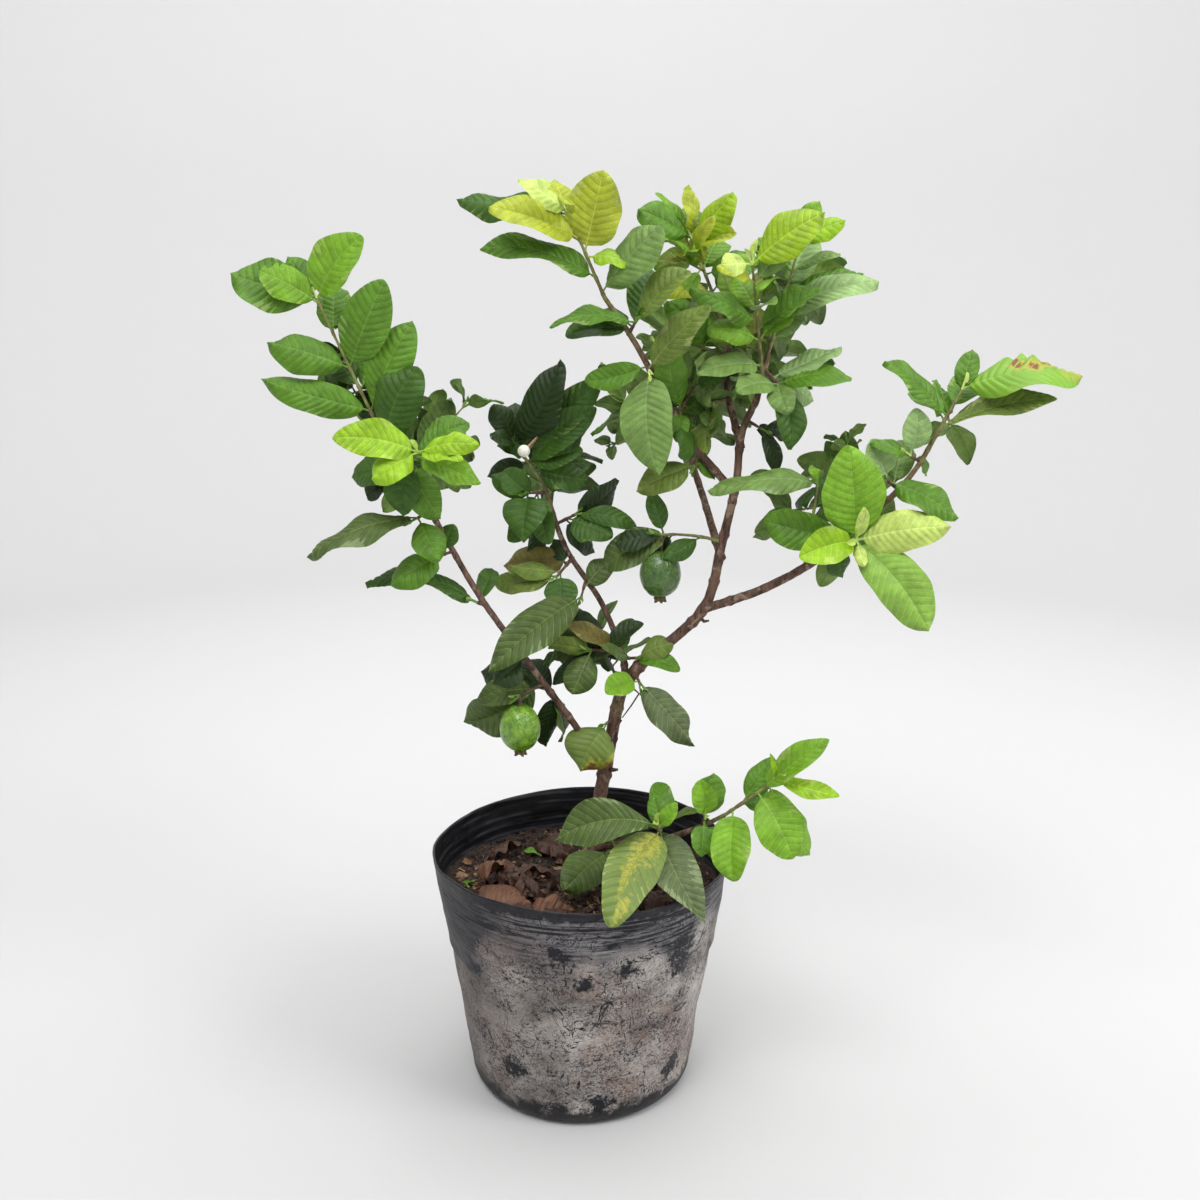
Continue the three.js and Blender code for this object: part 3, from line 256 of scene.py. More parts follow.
        (0.48, 18, -8, 80, 28, "green"), (0.6, 66, -24, 64, 34), (0.1, 48, -20, 50, 28)]),
    "crown_mid": (stem("leader", 730, 310, 42, 22, tilt=45), "sage silver", [
        (1, 5, 8, 68, 34, "green", 45), (1, 187, 34, 50, 28, "sage"), (0.9, 283, 22, 66, 34, "mature"),
        (0.9, 286, 50, 40, 28), (0.6, 24, -10, 74, 26), (0.4, 330, -30, 62, 30)]),
    "leader_dark": (stem("leader", 682, 330, -4, 16, tilt=40), "deep", [
        (1, 292, 0, 46, 18), (1, 345, -20, 34, 22), (0.6, 312, -40, 50, 24)]),
    "crown_inner": (stem("bough_crown", 700, 190, 10, 46, pairs=2, leaf=60, roll=50, tilt=35, twigs=1,
            seed=46), "olive sage", [
        (0.3, 250, 20, 58, 36)]),
    "crown_back": (stem("bough_back", END, 88, -22, 84, pairs=4, leaf=74, spread=60, roll=30, tilt=42,
            turn=170, twigs=3, seed=51), "green mature", []),
    "crown_back_left": (stem("bough_back", 655, 158, -34, 80, pairs=4, leaf=68, spread=60, roll=45,
            tilt=45, turn=200, twigs=1, seed=52), "mature green", []),
    "crown_back_low": (stem("bough_back", 640, 60, -40, 44, tilt=45, turn=165), "mature deep", [
        (1, 62, -20, 62, 32), (1, 150, -24, 56, 30), (0.6, 125, -40, 58, 32), (0.4, 24, -50, 56, 30),
        (0.9, 345, -52, 44, 28)]),
    "crown_back_right": (stem("leader", 700, 72, -56, 108, pairs=4, leaf=66, spread=60, roll=10,
            tilt=45, turn=160, twigs=2, seed=54), "green mature", []),
    "right_rosette": (stem("bough_right", 562, 45, 55, 48, tilt=18, bud=(23, 1.8, 100)), "green", [
        (1, 98, 4, 88, 60, "fresh", 20), (1, 192, 20, 60, 36, "bright"),
        (1, 11, 12, 84, 38, "yellow", BEND, dict(shade=0)), (1, 309, 14, 106, 50, "pale", 20),
        (0.7, 166, -8, 80, 40, "green"), (1, 86, 30, 38, 13, "yellow"), (1, 285, 42, 28, 12, "yellow"),
        (0.4, 285, -14, 34, 24, "mature"), (0.35, 20, -30, 60, 30)]),
    "right_spur": (stem("bough_right", 545, 82, -5, 80, tilt=50), "mature", [
        (1, 184, 4, 104, 30, "sage", 80), (0.96, 108, 8, 24, 12, "fresh", 70), (0.7, 40, -40, 52, 28)]),
    "right_behind": (stem("bough_right", 590, 66, -66, 104, pairs=2, first=0.75, leaf=56, spread=66,
            roll=50, tilt=42, turn=180, twigs=1, seed=62), "mature green", [
        (0.7, 18, -16, 60, 32), (0.7, 158, -18, 62, 34), (0.5, 206, -38, 56, 30),
        (0.5, 334, -34, 60, 32), (0.25, 44, -48, 50, 28), (0.3, 150, -50, 56, 28)]),
    "right_mid": (stem("bough_right", 624, 140, 14, 16, tilt=40), "sage", [
        (1, 116, 8, 42, 30, "silver"), (0.8, 333, 20, 70, 34, "green"), (0.9, 190, 18, 40, 22, "grey"),
        (0.5, 60, -40, 56, 28)]),
    "right_shoulder": (stem("bough_right", 650, 150, 10, 12, tilt=40), "green", [
        (1, 88, 6, 44, 26, "silver"), (1, 160, 16, 44, 18, "green"), (0.7, 320, -40, 50, 26)]),
    "right_top": (stem("bough_right", END, 62, -2, 44, tilt=55), "green", [
        (1, 6, 4, 104, 54, "fresh", 80,
         dict(curl=0.2, fold=6, twirl=14, bites=NIBBLES, spots=NIBBLE_SCARS)),
        (0.15, 15, 12, 100, 28, "olive", 40), (0.3, 139, 6, 80, 32, "green"), (0.9, 72, -20, 44, 22),
        (0.4, 140, -52, 52, 26), (0.6, 40, -50, 60, 30)]),
    "low_tip": (stem("bough_low", END, 43, 14, 64, tilt=45, bud=(18, 0.5, 90)), "fresh", [
        (0.75, 43, 8, 80, 28, "fresh"), (1, 351, 16, 60, 18, "bright"), (0.95, 93, 12, 32, 9, "bright"),
        (0.65, 300, 28, 70, 44, "fresh"), (0.15, 268, 36, 68, 42, "fresh"),
        (0.85, 300, -12, 98, 36, "fresh"), (0.35, 56, -16, 54, 26, "green"),
        (0.3, 340, -40, 56, 28, "green")]),
    "low_mid": (stem("bough_low", 299, 80, 34, 14, tilt=35), "green", [
        (1, 98, 6, 42, 26, "fresh"), (0.8, 262, 40, 36, 24, "green"), (0.8, 78, -14, 46, 32, "green"),
        (0.5, 305, 10, 46, 26, "green")]),
    "low_foot": (stem("bough_low", 279, 100, 45, 44, tilt=40), "green", [
        (1, 189, 4, 98, 44, "grey", 75, dict(wave=5, waves=1.2, tip=1.1, sickle=0.08)),
        (0.55, 226, 54, 117, 50, "olive", 40, dict(fold=16, wave=3, quilt=2, spots=YELLOWED)),
        (0.3, 307, 52, 104, 46, "ash", 40, dict(wave=4, widest=0.4, tip=1.1)),
        (0.7, 60, 8, 34, 16, "fresh"), (0.4, 100, -40, 40, 20)]),
    "low_spur": (stem("bough_low", 250, 190, 50, 18, tilt=60), "grey", [
        (1, 198, 48, 72, 42, "grey"), (0.6, 120, -20, 44, 26)]),
}

# ---- colours -----------------------------------------------------------------------------------
TONES = {  # of a leaf: its blade's upper face, its veins, and its underside
    # the darkest green is partly the leaves' own colour and partly painted shade, for leaves inside the
    # plant and at its back
    "deep": ("21350f", "314a1e", "526b38"),
    "mature": ("3a5c17", "4c6f29", "698343"),
    "green": ("527d19", "698f35", "7d9850"),
    "fresh": ("6f9d22", "88ae42", "90af4e"),
    "spring": ("8cad16", "a9c748", "a4bd52"),
    "bright": ("8bb41c", "a5c645", "a2bd50"),
    "yellow": ("bad066", "c9de80", "bfd076"),
    "lime": ("a2af2c", "b9c356", "adb65c"),
    "pale": ("84ac44", "9dbf64", "98b268"),
    "sage": ("6b8a42", "869f60", "889d6a"),
    # the pale silvery green is partly the leaves' own colour and partly a painted sheen of reflected light
    "silver": ("8bab67", "a3be86", "99b07c"),
    "ash": ("5c6b42", "78885c", "828f68"),
    "grey": ("4a5e28", "6b7f42", "7a8a5e"),
    "olive": ("667c2f", "7f914a", "909b5c"),
    "bronze": ("6e6630", "837844", "8b834e"),
    "dead": ("4b342b", "644638", "60483b"),
    "rust": ("6c4a38", "855e46", "7e5b44"),
}
PARTS = ("blade", "vein", "under")
SHADES = (0.91, 1.0, 1.09)        # brightness of the panels between a blade's veins
TONE_RANGE = (0.76, 1.2)          # brightness within a panel
SALLOW = "a3a43c"                 # of ailing leaves, and the brown that follows
RUST_BROWN = "80502e"


def rgb(code, brightness=1.0):
    """The linear colour of an sRGB hex code, made brighter or darker."""
    parts = [int(code[i:i + 2], 16) / 255 for i in (0, 2, 4)]
    linear = [p / 12.92 if p <= 0.04045 else ((p + 0.055) / 1.055) ** 2.4 for p in parts]
    return (*[min(1.0, part * brightness) for part in linear], 1.0)


# ---- small maths -------------------------------------------------------------------------------
MASK = 0xFFFFFFFF
PEAK = 1.6                        # where ripple's noise is cut off
rad = math.radians


def vec(*numbers):
    return np.array(numbers, float)


def unit(v):
    return v / np.linalg.norm(v)


def between(ends, share):
    return ends[0] + (ends[1] - ends[0]) * share


def smooth(low, high, value):
    """0 below low, 1 above high, and an even curve between them."""
    share = np.clip((value - low) / (high - low), 0, 1)
    return share * share * (3 - 2 * share)


def hump(distance):
    """1 at no distance, falling evenly to nothing a few units away."""
    return np.exp(-(distance ** 2))


def turned(v, axis, angle):
    """v turned about a unit axis, by an angle in radians."""
    return (v * math.cos(angle) + np.cross(axis, v) * math.sin(angle)
            + axis * np.dot(axis, v) * (1 - math.cos(angle)))


def pointing(heading, lean):
    """A way: heading from +X towards +Z in the front view, and lean towards the front."""
    h, l = rad(heading), rad(lean)
    return vec(math.cos(l) * math.cos(h), -math.sin(l), math.cos(l) * math.sin(h))


def headed(way):
    """The heading and lean of a unit way."""
    return dict(heading=math.degrees(math.atan2(way[2], way[0])), lean=math.degrees(math.asin(-way[1])))


def facing(tilt, turn):
    """The way that leaves face: up by tilt, and round from the front by turn."""
    level = math.cos(rad(tilt))
    return vec(math.sin(rad(turn)) * level, -math.cos(rad(turn)) * level, math.sin(rad(tilt)))


def round_angles(sides):
    return math.tau * np.arange(sides) / sides


def stream(seed):
    """A repeatable stream of numbers from 0 to 1, the same as the solids'."""
    state = seed
    while True:
        state = (state + 0x6D2B79F5) & MASK
        t = ((state ^ (state >> 15)) * (state | 1)) & MASK
        t ^= (t + (t ^ (t >> 7)) * (t | 61)) & MASK
        yield ((t ^ (t >> 14)) & MASK) / (MASK + 1)


def drawn(draw, ranges):
    """A number from each named range, in their order."""
    return {name: draw.uniform(*ends) for name, ends in ranges.items()}


def ripple(points, size, seed, waves=9):
    """Smooth noise from -1 to 1 at each point, with bumps about size across."""
    draw = np.random.default_rng(seed)
    total = np.zeros(len(points))
    for _ in range(waves):
        way = unit(draw.normal(size=3)) * (math.tau / size) * draw.uniform(0.6, 1.5)
        total += np.sin(points @ way + draw.uniform(0, math.tau))
    return np.clip(total / math.sqrt(waves), -PEAK, PEAK) / PEAK


# ---- many small shapes joined in one mesh --------------------------------------------------------
class Batch:
    """Shapes that become one piece: points in millimetres, faces of any size, and a slot each."""

    def __init__(self):
        self.points, self.loops, self.sizes, self.slots, self.ages = [], [], [], [], []
        self.materials = []
        self.count = 0

    def slot(self, material):
        if material not in self.materials:
            self.materials.append(material)
        return self.materials.index(material)

    def add(self, points, loops, sizes, slots, age=0.0):
        """slots is one number, or one for each face; age is one number, or one for each point."""
        self.points.append(points)
        self.loops.append(np.asarray(loops) + self.count)
        self.sizes.append(np.asarray(sizes))
        self.slots.append(np.broadcast_to(slots, len(sizes)))
        self.ages.append(np.broadcast_to(age, len(points)))
        self.count += len(points)

    def build(self, name, sharp=60):
        """The mesh, in metres, with edges sharper than this angle kept sharp."""
        mesh = bpy.data.meshes.new(name)
        sizes = np.concatenate(self.sizes)
        mesh.vertices.add(self.count)
        mesh.vertices.foreach_set("co", (np.concatenate(self.points) * MM).ravel())
        mesh.loops.add(int(sizes.sum()))
        mesh.loops.foreach_set("vertex_index", np.concatenate(self.loops).astype(np.int32))
        mesh.polygons.add(len(sizes))
        starts = np.concatenate([[0], np.cumsum(sizes)[:-1]]).astype(np.int32)
        mesh.polygons.foreach_set("loop_start", starts)
        for material in self.materials:
            mesh.materials.append(material)
        mesh.polygons.foreach_set("material_index", np.concatenate(self.slots).astype(np.int32))
        mesh.update(calc_edges=True)
        mesh.shade_smooth()
        mesh.set_sharp_from_angle(angle=rad(sharp))
        age = mesh.attributes.new("age", "FLOAT", "POINT")
        age.data.foreach_set("value", np.concatenate(self.ages).astype(np.float32))
        piece = bpy.data.objects.new(name, mesh)
        bpy.context.scene.collection.objects.link(piece)
        return piece


def finished(piece, slot, *nodes):
    """The piece rides with the plant and stands for its nodes. The slot is not used."""
    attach(piece, "root")
    if nodes:
        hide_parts(*nodes)
    return piece


def grid_faces(rings, sides, closed=True):
    """Four-cornered faces over a grid of rings, outward when sides turn left along the rings."""
    across = sides if closed else sides - 1
    r, k = np.meshgrid(np.arange(rings - 1), np.arange(across), indexing="ij")
    a = (r * sides + k).ravel()
    b = (r * sides + (k + 1) % sides).ravel()
    return np.stack([a, b, b + sides, a + sides], axis=1)


def closed_faces(rings, sides, falling=False):
    """Loops and sizes of a closed round shape, outward for rings that rise or that fall."""
    faces = grid_faces(rings, sides)
    first = np.arange(sides)[::-1]
    last = (rings - 1) * sides + np.arange(sides)
    if falling:
        faces, first, last = faces[:, ::-1], first[::-1], last[::-1]
    return np.concatenate([faces.ravel(), first, last]), [4] * len(faces) + [sides, sides]


def tube(centres, radii, sides):
    """A closed tube. radii is a number for each ring, or for each ring and side."""
    centres = np.asarray(centres, float)
    rings = len(centres)
    ways = np.gradient(centres, axis=0)
    ways /= np.linalg.norm(ways, axis=1, keepdims=True)
    angles = round_angles(sides)
    radii = np.broadcast_to(np.asarray(radii, float).reshape(rings, -1), (rings, sides))
    points = np.empty((rings, sides, 3))
    side = vec(0.31, -0.89, 0.33)
    for i in range(rings):
        side = unit(side - ways[i] * np.dot(side, ways[i]))
        other = np.cross(ways[i], side)
        ring = np.outer(np.cos(angles), side) + np.outer(np.sin(angles), other)
        points[i] = centres[i] + ring * radii[i][:, None]
    return points.reshape(-1, 3), *closed_faces(rings, sides)


# ---- materials -----------------------------------------------------------------------------------
def shader(name, color, roughness, **sockets):
    """A new principled material, with constants on the shader's own sockets."""
    material = bpy.data.materials.new(name)
    material.use_nodes = True
    body = material.node_tree.nodes["Principled BSDF"]
    body.inputs["Base Color"].default_value = color
    body.inputs["Roughness"].default_value = roughness
    for socket, value in sockets.items():
        body.inputs[socket.replace("_", " ")].default_value = value
    return material


class Nodes:
    """Short words for the nodes of one material. Lengths are in metres."""

    def __init__(self, material):
        self.tree = material.node_tree
        self.body = self.tree.nodes["Principled BSDF"]
        self.place = self.tree.nodes.new("ShaderNodeTexCoord").outputs["Object"]

    def link(self, output, node, socket):
        self.tree.links.new(output, node.inputs[socket])

    def new(self, kind, **settings):
        node = self.tree.nodes.new("ShaderNode" + kind)
        for key, value in settings.items():
            setattr(node, key, value)
        return node

    def filled(self, kind, place, **inputs):
        """A node that takes a place on the piece and these constants."""
        node = self.new(kind)
        for socket, value in inputs.items():
            node.inputs[socket].default_value = value
        self.link(place or self.place, node, "Vector")
        return node

    def stretched(self, scale, turn=(0, 0, 0)):
        """The place on the piece, scaled along each axis and turned."""
        return self.filled("Mapping", None, Scale=scale, Rotation=turn).outputs["Vector"]

    def noise(self, scale, detail=3, rough=0.55, place=None, warp=0.0):
        return self.filled("TexNoise", place, Scale=scale, Detail=detail, Roughness=rough,
                           Distortion=warp).outputs["Fac"]

    def cells(self, scale):
        return self.filled("TexVoronoi", None, Scale=scale).outputs["Distance"]

    def ramp(self, value, low, high, first=0.0, last=1.0):
        """A value from low to high brought to first to last, and kept there."""
        node = self.new("MapRange", clamp=True)
        ends = {"From Min": low, "From Max": high, "To Min": first, "To Max": last}
        for socket, number in ends.items():
            node.inputs[socket].default_value = number
        self.link(value, node, "Value")
        return node.outputs["Result"]

    def maths(self, operation, a, b=0.0):
        node = self.new("Math", operation=operation)
        for index, value in enumerate((a, b)):
            if isinstance(value, (int, float)):
                node.inputs[index].default_value = value
            else:
                self.link(value, node, index)
        return node.outputs[0]

    def plus(self, a, b):
        return self.maths("ADD", a, b)

    def times(self, a, b):
        return self.maths("MULTIPLY", a, b)

    def most(self, a, b):
        return self.maths("MAXIMUM", a, b)

    def ragged(self, value, reach, scale, detail=3, rough=0.55):
        """A value with noise of up to reach either way, so that its edges wander."""
        return self.plus(value, self.ramp(self.noise(scale, detail, rough), 0.3, 0.7, -reach, reach))

    def mix(self, share, a, b):
        """Colour a where share is 0 and b where it is 1. Either may be a hex code."""
        node = self.new("Mix", data_type="RGBA")
        self.link(share, node, "Factor")
        for socket, value in (("A", a), ("B", b)):
            into = [i for i in node.inputs if i.name == socket and i.type == "RGBA"][0]
            if isinstance(value, str):
                value = rgb(value)
            if isinstance(value, tuple):
                into.default_value = value
            else:
                self.tree.links.new(value, into)
        return [o for o in node.outputs if o.type == "RGBA"][0]

    def bump(self, height, strength, distance):
        node = self.new("Bump")
        node.inputs["Strength"].default_value = strength
        node.inputs["Distance"].default_value = distance
        self.link(height, node, "Height")
        self.link(node.outputs["Normal"], self.body, "Normal")

    def along(self, axis):
        """How far the place lies along X, Y or Z."""
        return self.filled("SeparateXYZ", None).outputs[axis]

    def near(self, point, reach):
        """1 at a point on the piece, falling to 0 at its reach."""
        node = self.new("VectorMath", operation="DISTANCE")
        node.inputs[1].default_value = point
        self.link(self.place, node, 0)
        return self.ramp(node.outputs["Value"], 0, reach, 1, 0)

    def age(self):
        """The mesh's own attribute: how ailing a leaf is, or how far along a limb."""
        return self.new("Attribute", attribute_name="age").outputs["Fac"]

    def color(self, output):
        self.link(output, self.body, "Base Color")

    def roughness(self, output):
        self.link(output, self.body, "Roughness")


def mottled(name, base, roughness, tones, blotches, relief, specks=None):
    """A matt material in two tones, with specks of a third. blotches and the first part of specks
    are a noise's scale and detail and the values it is cut between; relief is a noise's scale
    and detail, and a bump's strength and distance."""
    material = shader(name, rgb(base), roughness)
    n = Nodes(material)
    tone = n.mix(n.ramp(n.noise(*blotches[:2]), *blotches[2:]), *tones)
    if specks:
        tone = n.mix(n.ramp(n.noise(*specks[0][:2]), *specks[0][2:]), tone, specks[1])
    n.color(tone)
    n.bump(n.noise(*relief[:2]), *relief[2:])
    return material


@cache
def leaf_material(tone, part, shade=None):
    """One of a tone's plain colours, with a satin sheen that varies and a fine net of veins."""
    name = f"leaf_{tone}_{part}"
    bright = 1.0
    if part == "blade":
        name, bright = f"{name}_{shade}", SHADES[shade]
    code = TONES[tone][PARTS.index(part)]
    material = shader(name, rgb(code, bright), 0.5, Specular_IOR_Level=0.32)
    n = Nodes(material)
    darker, lighter = (rgb(code, share * bright) for share in TONE_RANGE)
    n.color(n.mix(n.ramp(n.noise(95, 5, 0.65), 0.32, 0.68), darker, lighter))
    sheen, net = ((0.62, 0.75), 0.0007) if part == "under" else ((0.4, 0.58), 0.0005)
    n.roughness(n.ramp(n.noise(70), 0.3, 0.7, *sheen))
    n.bump(n.cells(430), 0.5, net)
    return material


@cache
def ailing_material(tone, shade):
    """A leaf's colour that turns yellow, then rust-brown, where its age is high."""
    base = rgb(TONES[tone][0], SHADES[shade])
    material = shader(f"leaf_{tone}_ailing_{shade}", base, 0.5)
    n = Nodes(material)
    ragged = n.plus(n.age(), n.ramp(n.noise(190, 5, 0.65), 0.25, 0.75, -0.3, 0.3))
    speck = n.plus(ragged, n.ramp(n.noise(650), 0.55, 0.7, 0.0, 0.3))
    sallow = n.mix(n.ramp(ragged, 0.25, 0.5), base, SALLOW)
    n.color(n.mix(n.ramp(speck, 0.62, 0.8), sallow, RUST_BROWN))
    n.roughness(n.ramp(ragged, 0.3, 0.8, 0.5, 0.75))
    n.bump(n.noise(600, 4), 0.3, 0.0004)
    return material


# ---- leaves --------------------------------------------------------------------------------------
BLADE_STATIONS = ((0.3, 0.96), (0.76, 0.86))     # where a leaf's solid has its corners
NEAR = 0.05                       # how close a leaf's mark lies to a corner of its solid
USUAL_LENGTH = 80                 # the leaf that WAVE and QUILT are given for
VEIN_GAP = 7.5                    # distance between side veins on a long leaf
VEIN_SWEEP = 0.09                 # how far a side vein climbs, beside the leaf's length
VEIN_HALF = 0.04                  # half a vein's width, beside the distance between two
VEINS = (4, 13)                   # fewest and most pairs of side veins
RIB_HALF = 0.75
BLADE_THICK = 0.4
CREST = (0.35, 0.1)               # height of the midrib above, on its middle and beside it
KEEL = (1.1, 0.15)                # the same below
STALK_RADII = (1.15, 0.7)
PANEL_PLAY = 0.62                 # how far a panel's shade may leave its leaf's
RIB_COLUMN = 0.04                 # places of the mesh's columns, from the midrib out
TOP_COLUMNS = (1.0, 0.85, 0.64, 0.43, 0.22, RIB_COLUMN)
UNDER_COLUMNS = (0.5, RIB_COLUMN)
BLADE, VEIN, RIB, UNDER, UNDER_RIB = range(5)
TRAITS = dict(  # what a leaf's surface does: each is drawn from its range, unless a row says
    fold=(4, 28),                 # how far each half rises from the midrib, in degrees
    curl=(0.0, 0.5),              # how far the margins turn down, beside half the width
    wave=(1.6, 4.4),              # height of the margins' waves
    waves=(1.0, 2.0),             # how many there are, and where they start left and right
    left=(0, 6.28),
    right=(0, 6.28),
    twirl=(-28, 28),              # turn about the midrib from foot to tip
    sickle=(-0.06, 0.06),         # sideways bow
    widest=(0.43, 0.55),          # where the blade is widest
    blunt=(0.52, 0.64),           # how round the foot is, and how drawn out the tip
    tip=(0.5, 0.72),
    nod=(-0.04, 0.04),            # rise or fall of the tip
    uneven=(0.015, 0.045),        # wander of the margins
    quilt=(0.85, 1.35),           # height of the panels above their veins
    shade=(0, 1))                 # from the darkest shade to the brightest


def mirrored(columns):
    """Places across a blade from one margin to the other."""
    return np.array([-c for c in columns] + [0.0] + list(columns[::-1]))


def vein_rows(veins):
    """Places of the rows along a blade, how high each lies, and which gaps are veins."""
    gap = 1 / (veins + 0.6)
    rows = [(0, 0, False), (gap * 0.4, 0.5, False)]
    for k in range(veins):
        centre = (k + 0.75) * gap        # each vein is a narrow trough, with a pillow between two
        rows += [(centre - VEIN_HALF * gap, -1, True), (centre + VEIN_HALF * gap, -1, False)]
        if k < veins - 1:
            rows += [(centre + 0.33 * gap, 0.8, False), (centre + 0.67 * gap, 0.9, False)]
    rows += [(1 - gap * 0.6, 0.5, False), (1 - gap * 0.3, 0.3, False), (1 - gap * 0.1, 0.1, False)]
    rows += [(1, 0, False)]
    places, heights, is_vein = (np.array(column) for column in zip(*rows))
    return places, heights, is_vein[:-1]


@cache
def leaf_pattern(veins):
    """Rows, columns and faces of a leaf's two sheets, which meet at its margin."""
    rows, heights, is_vein = vein_rows(veins)
    top, under = mirrored(TOP_COLUMNS), mirrored(UNDER_COLUMNS)
    n, wide, low = len(rows), len(top), len(under)
    top_index = np.arange(n * wide).reshape(n, wide)
    under_index = n * wide + np.arange(n * low).reshape(n, low)
    under_index = np.concatenate([top_index[:, :1], under_index, top_index[:, -1:]], axis=1)
    loops, kinds, panels = [], [], []
    for index, base in ((top_index, BLADE), (under_index, UNDER)):
        columns = index.shape[1] - 1
        a, b = index[:-1, :-1], index[:-1, 1:]
        c, d = index[1:, 1:], index[1:, :-1]
        faces = [a, b, c, d] if base == BLADE else [d, c, b, a]
        loops.append(np.stack(faces, axis=2).reshape(-1, 4))
        kind = np.full((n - 1, columns), base)
        if base == BLADE:
            kind[is_vein] = VEIN
        middle = columns // 2
        kind[:, middle - 1:middle + 1] = RIB if base == BLADE else UNDER_RIB
        kinds.append(kind.ravel())
        panel = np.cumsum(is_vein)[:, None] * 2 + (np.arange(columns) >= middle)[None, :]
        panels.append(panel.ravel())
    faces = np.concatenate(loops)
    ends = [np.concatenate([top_index[0][::-1], under_index[0][1:-1]]),
            np.concatenate([top_index[-1], under_index[-1][-2:0:-1]])]
    loops = np.concatenate([faces.ravel(), *ends])
    sizes = [4] * len(faces) + [len(end) for end in ends]
    kinds = np.concatenate([*kinds, [RIB, RIB]])
    panels = np.concatenate([*panels, [0, 0]])
    return (rows, heights, top, under), (loops, sizes, kinds, panels)


def leaf_frame(leaf, stem_, swing=0, twist=0):
    """A leaf's side, and the way its arc starts and rises, from the rule."""
    way = pointing(leaf["heading"] + swing, leaf["lean"])
    face = facing(stem_["tilt"], stem_["turn"])
    normal = unit(face - way * np.dot(face, way))
    side = turned(unit(np.cross(way, normal)), way, rad(leaf["twist"] + twist))
    return arched(way, side, leaf["bend"])


def arched(way, side, bend):
    """The frame of a leaf whose chord runs this way."""
    start = turned(way, side, rad(bend) / 2)
    return side, start, np.cross(side, start)


def on_arc(leaf, frame_, place):
    """The midrib's points and the way up at each place from 0 to 1."""
    _, start, up = frame_
    half = rad(leaf["bend"]) / 2
    radius = leaf["length"] / (2 * math.sin(half))
    turn = 2 * half * np.asarray(place)[..., None]
    points = leaf["root"] + start * radius * np.sin(turn) - up * radius * (1 - np.cos(turn))
    return points, up * np.cos(turn) + start * np.sin(turn)


def marks(leaf, frame_):
    """Corners that a leaf's solid has."""
    share = PETIOLE / leaf["length"]
    found = [on_arc(leaf, frame_, 1.0)[0]]
    for station, wide in BLADE_STATIONS:
        centre = on_arc(leaf, frame_, share + (1 - share) * station)[0]
        for sign in (-1, 1):
            found.append(centre + frame_[0] * sign * wide * leaf["width"] / 2)
    return found


def grown(leaf, stem_, corners):
    """The frame in which a leaf stands in its solid, or None where the solid has none."""
    best, most = None, 1
    for swing, twist in zip(SWING_TRIES, TWIST_TRIES):
        frame_ = leaf_frame(leaf, stem_, swing, twist)
        hits = sum(corners.find(point)[2] < NEAR for point in marks(leaf, frame_))
        if hits > most:
            best, most = frame_, hits
    return best


def own_look(leaf, draw):
    """What a leaf's surface does: drawn for each leaf, unless its row says."""
    look = drawn(draw, TRAITS)
    for trait in ("wave", "quilt"):
        look[trait] *= leaf["length"] / USUAL_LENGTH
    return {**look, "bites": (), "spots": (), **leaf["look"]}


